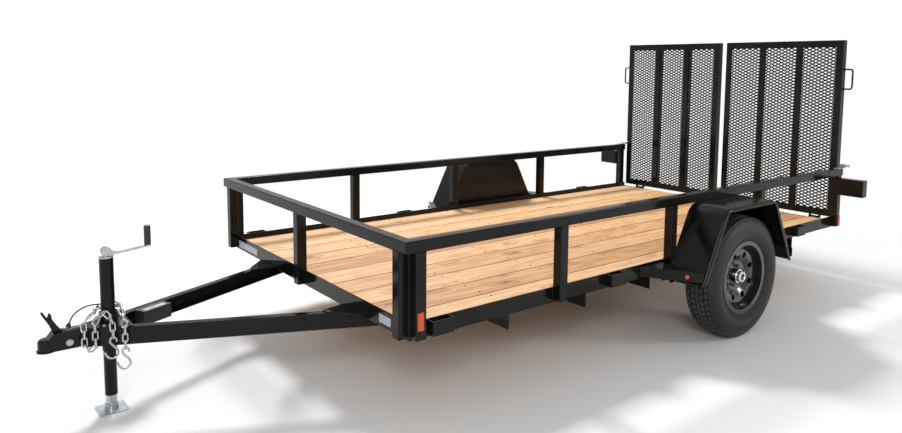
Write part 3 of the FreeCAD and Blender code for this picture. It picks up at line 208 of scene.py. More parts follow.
lead_route = [(2.2122, 0, 0.4765), (2.243, 0, 0.4805), (2.273, 0, 0.4765), (2.301, 0, 0.4635),
              (2.323, 0, 0.4425), (2.331, 0, 0.420)]
curve = bpy.data.curves.new("lamp_cable", "CURVE")
curve.dimensions = "3D"
spline = curve.splines.new("NURBS")
spline.points.add(len(lead_route) - 1)
for knot, corner in zip(spline.points, lead_route):
    knot.co = (*corner, 1)
spline.order_u = 3
spline.use_endpoint_u = True
curve.bevel_depth = 0.003
curve.bevel_resolution = 4
curve.use_fill_caps = True
curve.materials.append(lead_rubber)
lamp_cable = bpy.data.objects.new("lamp_cable", curve)
bpy.context.collection.objects.link(lamp_cable)
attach(lamp_cable, "trailer")
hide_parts("lamp_lead")


def dress(material, *names):
    """Gives CAD nodes their finish."""
    for name in names:
        nodes[name].data.materials.clear()
        nodes[name].data.materials.append(material)


dress(lead_rubber, "lamp_plug")

# Steelwork: angle, channel and square tube, welded up and powder coated glossy black as one.
# The coat is slightly wavy and its edges catch the light as soft lines.

steel, surface, place = new_material("black_powder_coat")
peel = place.node("ShaderNodeTexNoise", Vector=place, Scale=260.0, Detail=2.0)
wave = place.node("ShaderNodeTexNoise", Vector=place, Scale=9.0, Detail=3.0)
soft_edge = place.node("ShaderNodeBevel", {"samples": 4}, Radius=0.0022)
bump = place.node("ShaderNodeBump", Height=peel * 0.35 + wave, Strength=0.10, Distance=0.002,
                  Normal=soft_edge)
dust = place.node("ShaderNodeTexNoise", Vector=place, Scale=3.0, Detail=6.0)
coat_stops = [(0.35, (0.0042, 0.0042, 0.0044)), (0.75, (0.0125, 0.0110, 0.0090))]
coat_colour = place.node("ShaderNodeValToRGB", {"stops": coat_stops}, Fac=dust)
finish_surface(surface, Base_Color=coat_colour, Roughness=dust * 0.14 + 0.05,
               Specular_IOR_Level=0.2, Normal=bump)
dress(steel, "side_rail_left", "side_rail_right", "front_member", "rear_member", "crossmembers",
      "side_posts", "front_posts", "top_rail_left", "top_rail_right", "top_rail_front",
      "tongue_rail_left", "tongue_rail_right", "coupler", "tongue_gussets", "jack_plate",
      "jack_tube", "fender_left", "fender_right", "fender_braces", "stake_pockets",
      "light_boxes", "axle", "spring_hangers", "gate_frame_left", "gate_frame_right",
      "gate_hinge_sleeves", "gate_handle_left", "gate_handle_right", "coupler_latch")

# Deck: new pine boards, 38 mm thick, laid lengthwise and screwed down to each crossmember. Each
# board has its own shade, grain and knots, and its edges are darkened with painted shade for the
# gaps between the boards.

pine, surface, place = new_material("new_pine")
BOARDS, BOARD_PITCH, DECK_SIDE, DECK_TOP = 10, 0.19204, 0.9582, 0.4308
BOARD_MIDDLE, KNOT_FREE = 0.4896, 0.66
aside = place.axes()[1]
boards_over = (aside + DECK_SIDE) / BOARD_PITCH
board = place.maths("FLOOR", boards_over)
shade = place.node("ShaderNodeTexWhiteNoise", {"noise_dimensions": "1D"}, W=board * 3.7 + 0.3)
shift = place.node("ShaderNodeCombineXYZ", X=board * 7.3, Y=board * 3.1, Z=board * 1.7)
moved = place.node("ShaderNodeVectorMath", {"operation": "ADD"}, **{"0": place, "1": shift})
knots = place.node("ShaderNodeMapping", Vector=moved, Scale=(4.6, 9.5, 9.5))
knot_far = place.node("ShaderNodeTexVoronoi", {"feature": "F1"}, Vector=knots, Scale=1.0)
knot_lot = place.node("ShaderNodeTexVoronoi", {"feature": "F1"}, 1, Vector=knots, Scale=1.0)
knotty = knot_lot.axes()[0] > KNOT_FREE
knot = knotty * place.node("ShaderNodeMapRange", {"interpolation_type": "SMOOTHSTEP"},
                           Value=knot_far, From_Min=0.17, From_Max=0.06)
swirl = knotty * place.node("ShaderNodeMapRange", {"interpolation_type": "SMOOTHSTEP"},
                            Value=knot_far, From_Min=0.58, From_Max=0.0)
stretched = place.node("ShaderNodeMapping", Vector=moved, Scale=(1.1, 26.0, 26.0))
rings = place.node("ShaderNodeTexNoise", Vector=stretched, Scale=1.6, Detail=3.0, Roughness=0.55)
grain = place.maths("SINE", rings * 26.0 + swirl * 9.0) * 0.5 + 0.5
fibre_place = place.node("ShaderNodeMapping", Vector=moved, Scale=(5.0, 260.0, 260.0))
fibre = place.node("ShaderNodeTexNoise", Vector=fibre_place, Scale=1.0, Detail=4.0)
blotch = place.node("ShaderNodeTexNoise", Vector=moved, Scale=2.4, Detail=3.0)
tone = grain ** 2.2 * 0.34 + fibre * 0.22 + blotch * 0.42 + shade * 0.48 + swirl * 0.34 - 0.14
wood_stops = [(0.14, (0.76, 0.50, 0.265)), (0.48, (0.64, 0.355, 0.155)),
              (0.90, (0.41, 0.170, 0.052))]
wood = place.node("ShaderNodeValToRGB", {"stops": wood_stops}, Fac=tone)
# Near each board's long edges the colour is mixed towards dark brown: painted shade standing in
# for the gaps between the boards.
seam = place.maths("ABSOLUTE", place.maths("FRACT", boards_over) - BOARD_MIDDLE)
painted_gap_shade = place.node("ShaderNodeMapRange", {"interpolation_type": "SMOOTHSTEP"}, Value=seam,
                  From_Min=0.462, From_Max=0.49)
gap_shaded_wood = place.node("ShaderNodeMix", {"data_type": "RGBA"}, 2,
                   **{"0": painted_gap_shade * 0.85, "6": wood, "7": (0.17, 0.075, 0.028, 1)})
knotted = place.node("ShaderNodeMix", {"data_type": "RGBA"}, 2,
                     **{"0": knot * 0.88, "6": gap_shaded_wood, "7": (0.150, 0.052, 0.014, 1)})
wood_bump = place.node("ShaderNodeBump", Height=fibre * 0.5 + grain * 0.5, Strength=0.25,
                       Distance=0.0012)
finish_surface(surface, Base_Color=knotted, Roughness=fibre * 0.25 + 0.5, Normal=wood_bump)
dress(pine, "deck_boards")

screw_steel, surface, place = new_material("dark_screw_steel")
smut = place.node("ShaderNodeTexNoise", Vector=place, Scale=400.0, Detail=3.0)
finish_surface(surface, Base_Color=(0.055, 0.050, 0.045, 1), Metallic=0.8,
               Roughness=smut * 0.3 + 0.3)


def settle(piece, name, body, material, smooth=35):
    """Puts a finished piece at the origin and gives it its body and its finish."""
    bpy.ops.object.select_all(action="DESELECT")
    piece.select_set(True)
    bpy.context.view_layer.objects.active = piece
    bpy.ops.object.transform_apply(location=True, rotation=True, scale=True)
    bpy.ops.object.shade_smooth_by_angle(angle=math.radians(smooth))
    piece.name = name
    piece.data.materials.clear()
    piece.data.materials.append(material)
    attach(piece, body)
    return piece


def copies(pattern, places):
    """Copies of a piece, each with its own mesh, joined into one; the pattern itself goes."""
    bpy.ops.object.select_all(action="DESELECT")
    made = []
    for turn in places:
        copy = pattern.copy()
        copy.data = pattern.data.copy()
        copy.data.transform(turn)
        bpy.context.collection.objects.link(copy)
        copy.select_set(True)
        made.append(copy)
    bpy.context.view_layer.objects.active = made[0]
    bpy.ops.object.join()
    bpy.data.objects.remove(pattern)
    return bpy.context.object


def edit(piece):
    """Opens a piece in edit mode with all of it selected."""
    bpy.ops.object.select_all(action="DESELECT")
    piece.select_set(True)
    bpy.context.view_layer.objects.active = piece
    bpy.ops.object.mode_set(mode="EDIT")
    bpy.ops.mesh.select_all(action="SELECT")


def done():
    """Closes edit mode and returns the piece."""
    bpy.ops.object.mode_set(mode="OBJECT")
    return bpy.context.object


def keep_faces(wanted):
    """In edit mode, selects only the faces whose centre and normal are wanted."""
    bpy.ops.object.mode_set(mode="OBJECT")
    mesh = bpy.context.object.data
    for group in (mesh.vertices, mesh.edges, mesh.polygons):
        group.foreach_set("select", [False] * len(group))
    for face in mesh.polygons:
        face.select = wanted(face.center, face.normal)
    bpy.ops.object.mode_set(mode="EDIT")
    bpy.ops.mesh.select_mode(type="FACE")


# One screw: a round head with a raised ring and a recess in the middle.
bpy.ops.mesh.primitive_cylinder_add(vertices=10, radius=0.0046, depth=0.0024)
screw = bpy.context.object
edit(screw)
keep_faces(lambda at, way: way.z > 0.9)
bpy.ops.mesh.inset(thickness=0.0014)
bpy.ops.mesh.extrude_region_move(TRANSFORM_OT_translate={"value": (0, 0, 0.0006)})
bpy.ops.mesh.inset(thickness=0.0014)
bpy.ops.mesh.extrude_region_move(TRANSFORM_OT_translate={"value": (0, 0, -0.0014)})
done()
# Two screws to a board on each line, a few millimetres out of line from board to board.
SCREW_ASIDE, SCREW_STRAY, SCREW_PROUD = 0.058, 0.004, 0.0002
beam_lines = [1.240, 0.7095, 0.2015, -0.3065, -0.8145, -1.3225, -1.8305, -2.352]
screw_places = [Matrix.Translation((x + SCREW_STRAY * (number % 3 - 1),
                                    BOARD_PITCH * (number + 0.49) - DECK_SIDE + side * SCREW_ASIDE,
                                    DECK_TOP + SCREW_PROUD))
                for x in beam_lines for number in range(BOARDS) for side in (-1, 1)]
settle(copies(screw, screw_places), "deck_screws", "trailer", screw_steel)

# Welds: short rippled beads, coated with the frame, where each post meets its rail above and the
# frame's side below. A long one runs down each front corner, between the side's post and the
# front's.

POST, RAIL_LOW, POST_MIDDLE, FRONT_POST_MIDDLE = 0.051, 0.765, 0.9905, 0.9395
FRONT_FACE, SIDE_FACE, PROUD = 1.270, 0.965, 0.0005
SIDE_FOOT, FRONT_FOOT = 0.434, 0.436
CORNER_LONG, CORNER_MIDDLE = 0.362, 0.5825
SWELL, RIPPLE = 1.9, 1.16


def weld_bead(long, ripples=13, tip=0.0016):
    """A rippled bead lying along z, thin at both of its ends."""
    bpy.ops.mesh.primitive_circle_add(vertices=8, radius=tip, fill_type="NGON",
                                      location=(0, 0, -long / 2))
    bead = bpy.context.object
    edit(bead)
    for ripple in range(ripples):
        bpy.ops.mesh.extrude_region_move(
            TRANSFORM_OT_translate={"value": (0, 0, long / ripples)})
        if ripple == 0:
            grow = SWELL
        elif ripple == ripples - 1:
            grow = 1 / SWELL
        else:
            grow = 1 / RIPPLE if ripple % 2 else RIPPLE
        bpy.ops.transform.resize(value=(grow, grow, 1))
    bpy.ops.mesh.select_all(action="SELECT")
    bpy.ops.mesh.normals_make_consistent(inside=False)
    made = done()
    bpy.ops.object.transform_apply(location=True)
    return made


along_y, along_x = Matrix.Rotation(math.pi / 2, 4, "X"), Matrix.Rotation(math.pi / 2, 4, "Y")
top_places, foot_places = [], []
for post_front in (FRONT_FACE, 0.4555, -0.3945, -1.2995, -2.324):
    for x in (post_front, post_front - POST):
        for side in (-1, 1):
            top_places.append(Matrix.Translation((x, side * POST_MIDDLE, RAIL_LOW)) @ along_y)
            foot_places.append(Matrix.Translation((x, side * (SIDE_FACE + PROUD), SIDE_FOOT)))
for middle in (-FRONT_POST_MIDDLE, 0, FRONT_POST_MIDDLE):
    for y in (middle - POST / 2, middle + POST / 2):
        top_places.append(Matrix.Translation((FRONT_FACE + POST / 2, y, RAIL_LOW)) @ along_x)
        if abs(y) < FRONT_POST_MIDDLE:
            foot_places.append(Matrix.Translation((FRONT_FACE + PROUD, y, FRONT_FOOT)))
settle(copies(weld_bead(0.045), top_places), "post_top_welds", "trailer", steel,
       smooth=60)
settle(copies(weld_bead(0.050), foot_places), "post_foot_welds", "trailer", steel,
       smooth=60)
corner_places = [Matrix.Translation((FRONT_FACE + PROUD, side * (SIDE_FACE - PROUD),
                                     CORNER_MIDDLE)) for side in (-1, 1)]
settle(copies(weld_bead(CORNER_LONG, ripples=75, tip=0.0028), corner_places),
       "corner_post_welds", "trailer", steel, smooth=60)

# Wheels: a black rubber tyre on a gloss black steel rim with eight round windows, held by five
# nuts round a chromed dust cap. The tread has four grooves round it, deep cross cuts, and finer
# ones between those.

AXLE_X, WHEEL_Z, TRACK = -0.815, 0.344, 1.133
PITCHES, STEPS_A_PITCH = 60, 5
RIB_TOP, TREAD_SKIN, CUT_SHRINK = 0.3422, 0.3395, 0.982
RIB_INNER, RIB_OUTER, SHOULDER = 0.0141, 0.0379, 0.0456
HUB_PLATE_FACE, CAP_FACE, CAP_EYE = 0.0435, 0.058, 0.0185


def turned(profile, centre, steps):
    """A closed ring spun about a line across the trailer from (radius, sideways) points."""
    bpy.ops.mesh.primitive_circle_add(vertices=len(profile), fill_type="NOTHING")
    ring = bpy.context.object
    for vertex, (radius, aside) in zip(ring.data.vertices, profile):
        vertex.co = (centre[0] + radius, centre[1] + aside, centre[2])
    edit(ring)
    bpy.ops.mesh.spin(steps=steps, angle=math.tau, center=centre, axis=(0, 1, 0))
    bpy.ops.mesh.select_all(action="SELECT")
    bpy.ops.mesh.remove_doubles(threshold=0.00001)
    bpy.ops.mesh.normals_make_consistent(inside=False)
    return done()


def wheel_place(place, side):
    """Distance from the wheel's axis, the angle round it, and the distance outward."""
    centred = place.node("ShaderNodeMapping", Vector=place,
                         Location=(-AXLE_X, -side * TRACK, -WHEEL_Z))
    x, y, z = centred.axes()
    radius = (x * x + z * z) ** 0.5
    return radius, place.maths("ARCTAN2", z, x), y * side


def cross_cut(at, way):
    """The part of a tread rib that a cross cut takes, one step in a pitch."""
    ahead, up = at.x - AXLE_X, at.z - WHEEL_Z
    aside = abs(abs(at.y) - TRACK)
    on_shoulder, on_rib = aside > SHOULDER, RIB_INNER < aside < RIB_OUTER
    step = math.floor(math.atan2(up, ahead) / math.tau * PITCHES * STEPS_A_PITCH + 0.001)
    turn = (step + (0 if on_shoulder else 2)) % STEPS_A_PITCH
    return math.hypot(ahead, up) > TREAD_SKIN and (on_shoulder or on_rib) and turn == 0


# Half of the tyre's outside from bead to middle, then its inside, as (radius, sideways).
half_tread = [(0.1916, 0.0745), (0.208, 0.0745), (0.214, 0.079), (0.226, 0.087), (0.241, 0.0945),
              (0.246, 0.0945), (0.250, 0.0965), (0.254, 0.0965), (0.258, 0.0985), (0.273, 0.099),
              (0.290, 0.0975), (0.304, 0.094), (0.318, 0.088), (0.329, 0.080), (0.336, 0.0735),
              (0.3385, 0.0722), (0.3412, 0.068), (0.3428, 0.060), (0.3434, 0.0455),
              (0.3365, 0.0440), (0.3365, 0.0395), (0.3437, 0.0380), (0.3440, 0.0140),
              (0.3368, 0.0128), (0.3368, 0.0092), (0.3440, 0.0080)]
half_hollow = [(0.326, 0.049), (0.263, 0.087), (0.1916, 0.059)]
tyre_profile = half_tread + [(radius, -aside) for radius, aside in reversed(half_tread)]
tyre_profile += [(radius, -aside) for radius, aside in reversed(half_hollow)] + half_hollow
for side, word in ((1, "left"), (-1, "right")):
    rubber, surface, place = new_material(f"tyre_rubber_{word}")
    radius, angle, outward = wheel_place(place, side)
    pitch = angle * (PITCHES / math.tau)
    sipe = place.maths("FRACT", pitch * 3 + place.maths("ABSOLUTE", outward) * 60.0 + 200.0)
    on_tread = radius > RIB_TOP
    sipes = on_tread * (sipe < 0.24)
    lines = place.maths("SINE", radius * 2600.0) * (radius < 0.240) * (radius > 0.212)
    ticks = place.maths("SINE", angle * 240.0) * (radius > 0.292) * (radius < 0.306)
    grit = place.node("ShaderNodeTexNoise", Vector=place, Scale=180.0, Detail=3.0)
    dirt = place.node("ShaderNodeTexNoise", Vector=place, Scale=14.0, Detail=5.0)
    deep = place.node("ShaderNodeBump", Height=grit * 0.1 + lines * 0.15 + ticks * 0.1 - sipes,
                      Strength=0.8, Distance=0.003)
    rubber_stops = [(0.3, (0.0075, 0.0078, 0.0088)), (0.75, (0.019, 0.0185, 0.0185))]
    rubber_colour = place.node("ShaderNodeValToRGB", {"stops": rubber_stops}, Fac=dirt)
    # The tread's running face is mixed towards a lighter grey all round: partly its worn, dusty
    # face, partly a painted highlight.
    scuff_and_highlight = place.node("ShaderNodeMix", {"data_type": "RGBA"}, 2,
                         **{"0": on_tread * 0.8, "6": rubber_colour,
                            "7": (0.075, 0.073, 0.070, 1)})
    # The fine cross cuts are mixed towards near black: painted shade in cuts that are only bumps,
    # not cut into the mesh.
    shaded = place.node("ShaderNodeMix", {"data_type": "RGBA"}, 2,
                        **{"0": sipes * 0.85, "6": scuff_and_highlight, "7": (0.006, 0.006, 0.006, 1)})
    finish_surface(surface, Base_Color=shaded, Roughness=dirt * 0.3 + 0.36,
                   Specular_IOR_Level=0.35, Normal=deep)
    centre = (AXLE_X, side * TRACK, WHEEL_Z)
    tyre = turned(tyre_profile, centre, PITCHES * STEPS_A_PITCH)
    edit(tyre)
    keep_faces(cross_cut)
    bpy.ops.mesh.extrude_region_move(TRANSFORM_OT_translate={"value": (0, 0, 0)})
    bpy.ops.transform.resize(value=(CUT_SHRINK, 1, CUT_SHRINK), center_override=centre)
    done()
    settle(tyre, f"grooved_tyre_{word}", f"wheel_{word}", rubber, smooth=28)
    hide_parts(f"tyre_{word}")

    cap, surface, place = new_material(f"hub_chrome_{word}")
    radius, angle, outward = wheel_place(place, side)
    bright = outward > HUB_PLATE_FACE
    middle = (radius < CAP_EYE) * (outward > CAP_FACE)
    plated = place.node("ShaderNodeMix", {"data_type": "RGBA"}, 2,
                        **{"0": bright, "6": (0.010, 0.0095, 0.009, 1),
                           "7": (0.72, 0.73, 0.75, 1)})
    capped = place.node("ShaderNodeMix", {"data_type": "RGBA"}, 2,
                        **{"0": middle, "6": plated, "7": (0.012, 0.012, 0.012, 1)})
    finish_surface(surface, Base_Color=capped, Metallic=bright * (1 - middle),
                   Roughness=middle * 0.4 + 0.12)
    dress(cap, f"hub_{word}")

wheel_paint, surface, place = new_material("gloss_wheel_paint")
speck = place.node("ShaderNodeTexNoise", Vector=place, Scale=70.0, Detail=4.0)
round_edge = place.node("ShaderNodeBevel", {"samples": 4}, Radius=0.002)
finish_surface(surface, Base_Color=(0.010, 0.010, 0.011, 1), Roughness=speck * 0.14 + 0.1,
               Coat_Weight=0.5, Coat_Roughness=0.05, Normal=round_edge)
dress(wheel_paint, "rim_left", "rim_right")

# Springs and bolts: black leaf springs, zinc nuts and washers on the four threaded rods of each,
# zinc bolts through the jack's plate and the coupler, and a small black one under the near front
# marker.

JACK_X, PLATE_TOP = 2.183, 0.394
ROD_AHEAD, ROD_LINES, CLAMP_TOP = 0.036, (0.9095, 0.9695), 0.3102
leaf_steel, surface, place = new_material("black_spring_steel")
scale = place.node("ShaderNodeTexNoise", Vector=place, Scale=40.0, Detail=5.0)
finish_surface(surface, Base_Color=(0.018, 0.017, 0.016, 1), Metallic=0.3,
               Roughness=scale * 0.3 + 0.38)
dress(leaf_steel, "spring_left", "spring_right")

zinc, surface, place = new_material("bright_zinc")
cloud = place.node("ShaderNodeTexNoise", Vector=place, Scale=55.0, Detail=4.0)
zinc_stops = [(0.3, (0.40, 0.43, 0.47)), (0.7, (0.62, 0.63, 0.64))]
zinc_colour = place.node("ShaderNodeValToRGB", {"stops": zinc_stops}, Fac=cloud)
finish_surface(surface, Base_Color=zinc_colour, Metallic=1.0, Roughness=cloud * 0.3 + 0.2)


def bolt_head(across_flats, tall):
    """A chamfered hexagon on a round washer, standing on z = 0."""
    radius = across_flats / math.sqrt(3)
    bpy.ops.mesh.primitive_cylinder_add(vertices=20, radius=radius * 1.25, depth=tall * 0.25,
                                        location=(0, 0, tall * 0.125))
    washer = bpy.context.object
    bpy.ops.mesh.primitive_cylinder_add(vertices=6, radius=radius, depth=tall,
                                        location=(0, 0, tall * 0.65))
    head = bpy.context.object
    bpy.ops.object.transform_apply(location=True)
    edit(head)
    keep_faces(lambda at, way: way.z > 0.9)
    bpy.ops.mesh.inset(thickness=radius * 0.12)
    bpy.ops.transform.translate(value=(0, 0, tall * 0.08))
    bpy.ops.mesh.inset(thickness=radius * 0.25)
    bpy.ops.mesh.extrude_region_move(TRANSFORM_OT_translate={"value": (0, 0, tall * 0.2)})
    done()
    washer.select_set(True)
    bpy.ops.object.join()
    bpy.ops.object.select_all(action="DESELECT")
    head.select_set(True)
    bpy.ops.object.transform_apply(location=True)
    return head


clamp_places = [Matrix.Translation((AXLE_X + end * ROD_AHEAD, side * y, CLAMP_TOP))
                for end in (-1, 1) for side in (-1, 1) for y in ROD_LINES]
settle(copies(bolt_head(across_flats=0.017, tall=0.008), clamp_places), "spring_clamp_nuts",
       "trailer", zinc)
plate_places = [Matrix.Translation((JACK_X + ahead, side * y, PLATE_TOP))
                for ahead, y in ((-0.055, 0.064), (0.026, 0.052)) for side in (-1, 1)]
settle(copies(bolt_head(across_flats=0.016, tall=0.006), plate_places), "jack_plate_bolts",
       "trailer", zinc)
coupler_places = [Matrix.Translation((2.337, side * 0.030, 0.345))
                  @ Matrix.Rotation(-side * math.pi / 2, 4, "X") for side in (-1, 1)]
settle(copies(bolt_head(across_flats=0.019, tall=0.007), coupler_places), "coupler_bolts",
       "trailer", zinc)
marker_place = Matrix.Translation((1.2515, 1.0161, 0.4335)) @ Matrix.Rotation(-math.pi / 2, 4, "X")
settle(copies(bolt_head(across_flats=0.010, tall=0.004), [marker_place]), "marker_bolt",
       "trailer", steel)

# Jack: a zinc plated crank, ram and foot in a black tube, with a grip of the same black plastic
# as the document box. The hinge pins and latches of the gates and the coupler's pin are zinc
# plated too.

dress(zinc, "jack_crank", "jack_ram", "jack_foot", "gate_pins_left", "gate_pins_right",
      "gate_latches", "latch_pin")
plastic, surface, place = new_material("black_plastic")
stipple = place.node("ShaderNodeTexNoise", Vector=place, Scale=900.0, Detail=2.0)
grained = place.node("ShaderNodeBump", Height=stipple, Strength=0.2, Distance=0.0004)
finish_surface(surface, Base_Color=(0.018, 0.018, 0.019, 1), Roughness=0.42, Normal=grained)
dress(plastic, "jack_grip", "document_box", "document_box_lid")

# Safety chain: welded zinc links of 7.5 mm wire, wrapped round the jack's tube and hung over
# the left rail in a bight, with a forged S hook at each end.

LINK_WIRE, LINK_WIDE, LINK_PITCH, LINK_PLAY = 0.0075, 0.020, 0.031, 0.0005
LEDGE, WRAP = 0.45675, 0.04825
TONGUE_TIP, TONGUE_SPLAY = 2.357, math.radians(25)
HOOK_WIRE = 0.0092
bpy.ops.mesh.primitive_torus_add(major_radius=LINK_WIDE / 2, minor_radius=LINK_WIRE / 2,
                                 major_segments=20, minor_segments=10)
one_link = bpy.context.object
straight = (LINK_PITCH + LINK_WIRE - LINK_PLAY - LINK_WIDE) / 2
for end in (-1, 1):
    edit(one_link)
    keep_faces(lambda at, way: at.x * end > 0.0001)
    bpy.ops.transform.translate(value=(end * straight, 0, 0))
    done()


def over_rail(ahead, low):
    """Corners of the chain as it crosses the left tongue rail's edge and hangs down to low."""
    x = JACK_X + ahead
    edge = (TONGUE_TIP - x) * math.tan(TONGUE_SPLAY)
    return [(x, edge - 0.006, PLATE_TOP + 0.027), (x, edge + 0.020, PLATE_TOP + 0.012),
            (x, edge + 0.020, low)]


# The chain hangs from the rail behind the jack, goes half round the tube, over the rail and back
# in a bight, past the tube's left side and down over the rail again.
half_turn = [(JACK_X + WRAP * math.cos(turn), WRAP * math.sin(turn), LEDGE)
             for turn in map(math.radians, range(-180, 1, 36))]
front_strand, back_strand = over_rail(0.104, 0.318), over_rail(0.066, 0.318)
bight = [((front_strand[2][0] + back_strand[2][0]) / 2,
          (front_strand[2][1] + back_strand[2][1]) / 2, 0.298)]
chain_line = over_rail(-0.038, 0.303)[::-1] + [(JACK_X - WRAP + 0.004, 0.030, LEDGE)] + half_turn
chain_line += [(JACK_X + WRAP + 0.008, 0.026, LEDGE)] + front_strand + bight + back_strand[::-1]
chain_line += [(JACK_X + 0.022, WRAP + 0.003, LEDGE)] + over_rail(0.004, 0.330)
chain_line = [Vector(corner) for corner in chain_line]
# Marks one link's pitch apart along that line. Each link runs from one mark to the next.
marks, run, at = [chain_line[0]], 0, chain_line[0]
while run < len(chain_line) - 1:
    if (chain_line[run + 1] - at).length < LINK_PITCH:
        run += 1
        continue
    start = chain_line[run]
    way = (chain_line[run + 1] - start).normalized()
    offset, gap = (start - at).dot(way), (start - at).length
    at = start + way * (math.sqrt(offset ** 2 - gap ** 2 + LINK_PITCH ** 2) - offset)
    marks.append(at)
marks = marks[:len(marks) // 2 * 2]
link_places = []
for number, (start, end) in enumerate(zip(marks, marks[1:])):
    along = (end - start).normalized()
    flat = Vector((1, 0, 0)) if abs(along.x) < 0.8 else Vector((0, 1, 0))
    facing = flat if number % 2 else along.cross(flat)
    wide = (facing - along * facing.dot(along)).normalized()
    turn = Matrix((along, wide, along.cross(wide))).transposed().to_4x4()
    link_places.append(Matrix.Translation((start + end) / 2) @ turn)
chain = copies(one_link, link_places)
# The hook's wire, ahead of the chain's last mark and up from it.
hook_line_mm = [(-12, -22), (-15, -10), (-6, 0), (8, 0), (15, -12), (10, -28), (-10, -48),
                (-19, -64), (-16, -82), (-2, -92), (16, -90), (29, -76), (34, -58)]
hooks = []
for end in (marks[0], marks[-1]):
    curve = bpy.data.curves.new("hook_wire", "CURVE")
    curve.dimensions = "3D"
    spline = curve.splines.new("NURBS")
    spline.points.add(len(hook_line_mm) - 1)
    for knot, (ahead, up) in zip(spline.points, hook_line_mm):
        knot.co = (end.x + ahead / 1000, end.y, end.z + up / 1000 + 0.003, 1)
    spline.order_u = 4
    spline.use_endpoint_u = True
    spline.resolution_u = 6
    curve.bevel_depth = HOOK_WIRE / 2
    curve.bevel_resolution = 3
    curve.use_fill_caps = True
    hook = bpy.data.objects.new("hook_wire", curve)
    bpy.context.collection.objects.link(hook)
    hooks.append(hook)
bpy.ops.object.select_all(action="DESELECT")
for hook in hooks:
    hook.select_set(True)
bpy.context.view_layer.objects.active = hooks[0]
bpy.ops.object.convert(target="MESH")
chain.select_set(True)
bpy.context.view_layer.objects.active = chain
bpy.ops.object.join()
settle(bpy.context.object, "welded_chain", "trailer", zinc, smooth=60)
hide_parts("safety_chains")

# Gate mesh: expanded steel sheet behind each gate's bars, slit and drawn into diamonds of
# 51 by 23 mm with flat strands, and coated black with the frame.

PANE_LOW, PANE_HIGH, MESH_X = 0.4548, 1.7222, -2.4104
DIAMOND_WIDE, DIAMOND_TALL, STRAND, STRAND_FLATNESS = 0.0508, 0.0234, 0.0092, 0.165
GRID_CELLS = 62
gate_panes = [(0.0378, 0.32567), (0.33047, 0.61833), (0.62313, 0.9562)]
for side, word in ((1, "left"), (-1, "right")):
    sheets = []
    for inner, outer in gate_panes:
        wide, tall = outer - inner, PANE_HIGH - PANE_LOW
        middle = side * (inner + outer) / 2
        bpy.ops.mesh.primitive_grid_add(x_subdivisions=GRID_CELLS, y_subdivisions=GRID_CELLS,
                                        size=GRID_CELLS)
        sheet = bpy.context.object
        edit(sheet)
        bpy.ops.transform.rotate(value=math.pi / 4, orient_axis="Z", center_override=(0, 0, 0))
        diamond = (DIAMOND_WIDE / math.sqrt(2), DIAMOND_TALL / math.sqrt(2), 1)
        bpy.ops.transform.resize(value=diamond, center_override=(0, 0, 0))
        for spot, way in (((wide / 2, 0, 0), (1, 0, 0)), ((-wide / 2, 0, 0), (-1, 0, 0)),
                          ((0, tall / 2, 0), (0, 1, 0)), ((0, -tall / 2, 0), (0, -1, 0))):
            bpy.ops.mesh.select_all(action="SELECT")
            bpy.ops.mesh.bisect(plane_co=spot, plane_no=way, clear_outer=True)
        done()
        strands = sheet.modifiers.new("strands", "WIREFRAME")
        strands.thickness = STRAND
        strands.use_boundary = True
        bpy.ops.object.modifier_apply(modifier="strands")
        upright = Matrix(((0, 0, STRAND_FLATNESS, MESH_X), (1, 0, 0, middle),
                          (0, 1, 0, (PANE_LOW + PANE_HIGH) / 2), (0, 0, 0, 1)))
        sheet.data.transform(upright)
        sheets.append(sheet)
    bpy.ops.object.select_all(action="DESELECT")
    for sheet in sheets:
        sheet.select_set(True)
    bpy.context.view_layer.objects.active = sheets[0]
    bpy.ops.object.join()
    mesh = settle(bpy.context.object, f"expanded_mesh_{word}", f"gate_{word}",
                  steel)
    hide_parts(f"gate_mesh_{word}")

# Lamps: glossy plastic lenses with fine optic ribs moulded in, red for the tail lamps in their
# boxes and amber for the markers along the sides.

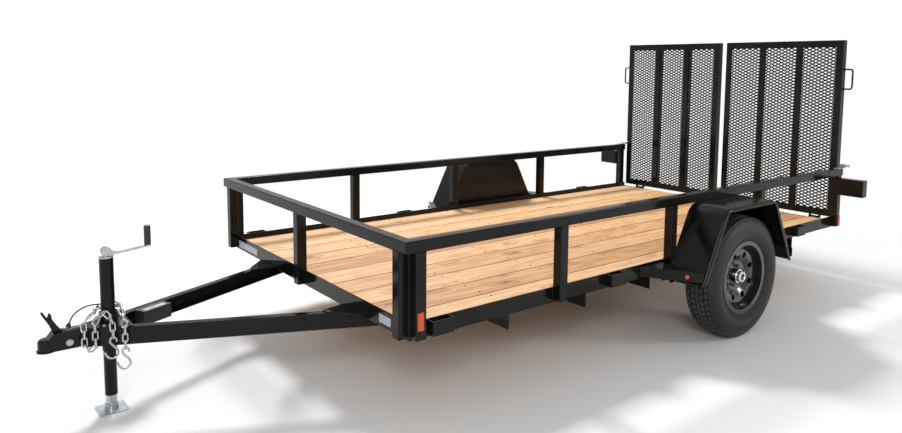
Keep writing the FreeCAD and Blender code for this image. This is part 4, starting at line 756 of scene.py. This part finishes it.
RIB_TURNS = 1500.0
lenses = [("red_lens", "tail_lamps", (0.30, 0.006, 0.004), (0.62, 0.02, 0.012)),
          ("amber_lens", "side_markers", (0.42, 0.045, 0.002), (0.74, 0.10, 0.004))]
for name, piece, deep, bright in lenses:
    lens, surface, place = new_material(name)
    x, y, z = place.axes()
    ribs = place.maths("SINE", z * RIB_TURNS) * place.maths("SINE", (x + y) * RIB_TURNS)
    depth = place.node("ShaderNodeValToRGB", {"stops": [(0.2, deep), (0.8, bright)]},
                       Fac=ribs * 0.35 + 0.5)
    prisms = place.node("ShaderNodeBump", Height=ribs, Strength=0.3, Distance=0.0006)
    finish_surface(surface, Base_Color=depth, Roughness=0.22, Coat_Weight=0.2, Normal=prisms)
    dress(lens, piece)

# Blank stickers: pale vinyl strips with rounded corners, one at each end of the front member and
# one on the document box's lid, each 0.6 mm thick.

STICKER_THICK, STICKER_CORNER = 0.0006, 0.004
vinyl, surface, place = new_material("pale_vinyl")
crease = place.node("ShaderNodeTexNoise", Vector=place, Scale=30.0, Detail=3.0)
vinyl_stops = [(0.3, (0.36, 0.38, 0.44)), (0.7, (0.50, 0.52, 0.58))]
vinyl_colour = place.node("ShaderNodeValToRGB", {"stops": vinyl_stops}, Fac=crease)
finish_surface(surface, Base_Color=vinyl_colour, Roughness=0.42)
upright = Matrix(((0, 0, 1, 0), (1, 0, 0, 0), (0, 1, 0, 0), (0, 0, 0, 1)))
sticker_places = [
    ("front_sticker_far", 0.28, 0.038, "trailer",
     Matrix.Translation((FRONT_FACE, -0.772, 0.4235)) @ upright),
    ("front_sticker_near", 0.095, 0.038, "trailer",
     Matrix.Translation((FRONT_FACE, 0.776, 0.4235)) @ upright),
    ("lid_sticker", 0.112, 0.030, "box_lid",
     Matrix.Translation((1.97075, -0.09761, 0.3898)) @ Matrix.Rotation(TONGUE_SPLAY, 4, "Z"))]
for name, wide, tall, rides, spot in sticker_places:
    bpy.ops.mesh.primitive_plane_add(size=1)
    sticker = bpy.context.object
    edit(sticker)
    bpy.ops.transform.resize(value=(wide, tall, 1), center_override=(0, 0, 0))
    bpy.ops.mesh.bevel(offset=STICKER_CORNER, segments=4, affect="VERTICES")
    bpy.ops.mesh.select_all(action="SELECT")
    bpy.ops.mesh.extrude_region_move(TRANSFORM_OT_translate={"value": (0, 0, STICKER_THICK)})
    bpy.ops.mesh.select_all(action="SELECT")
    bpy.ops.mesh.normals_make_consistent(inside=False)
    done()
    sticker.data.transform(spot)
    settle(sticker, name, rides, vinyl)

bpy.context.scene.view_settings.view_transform = "Standard"
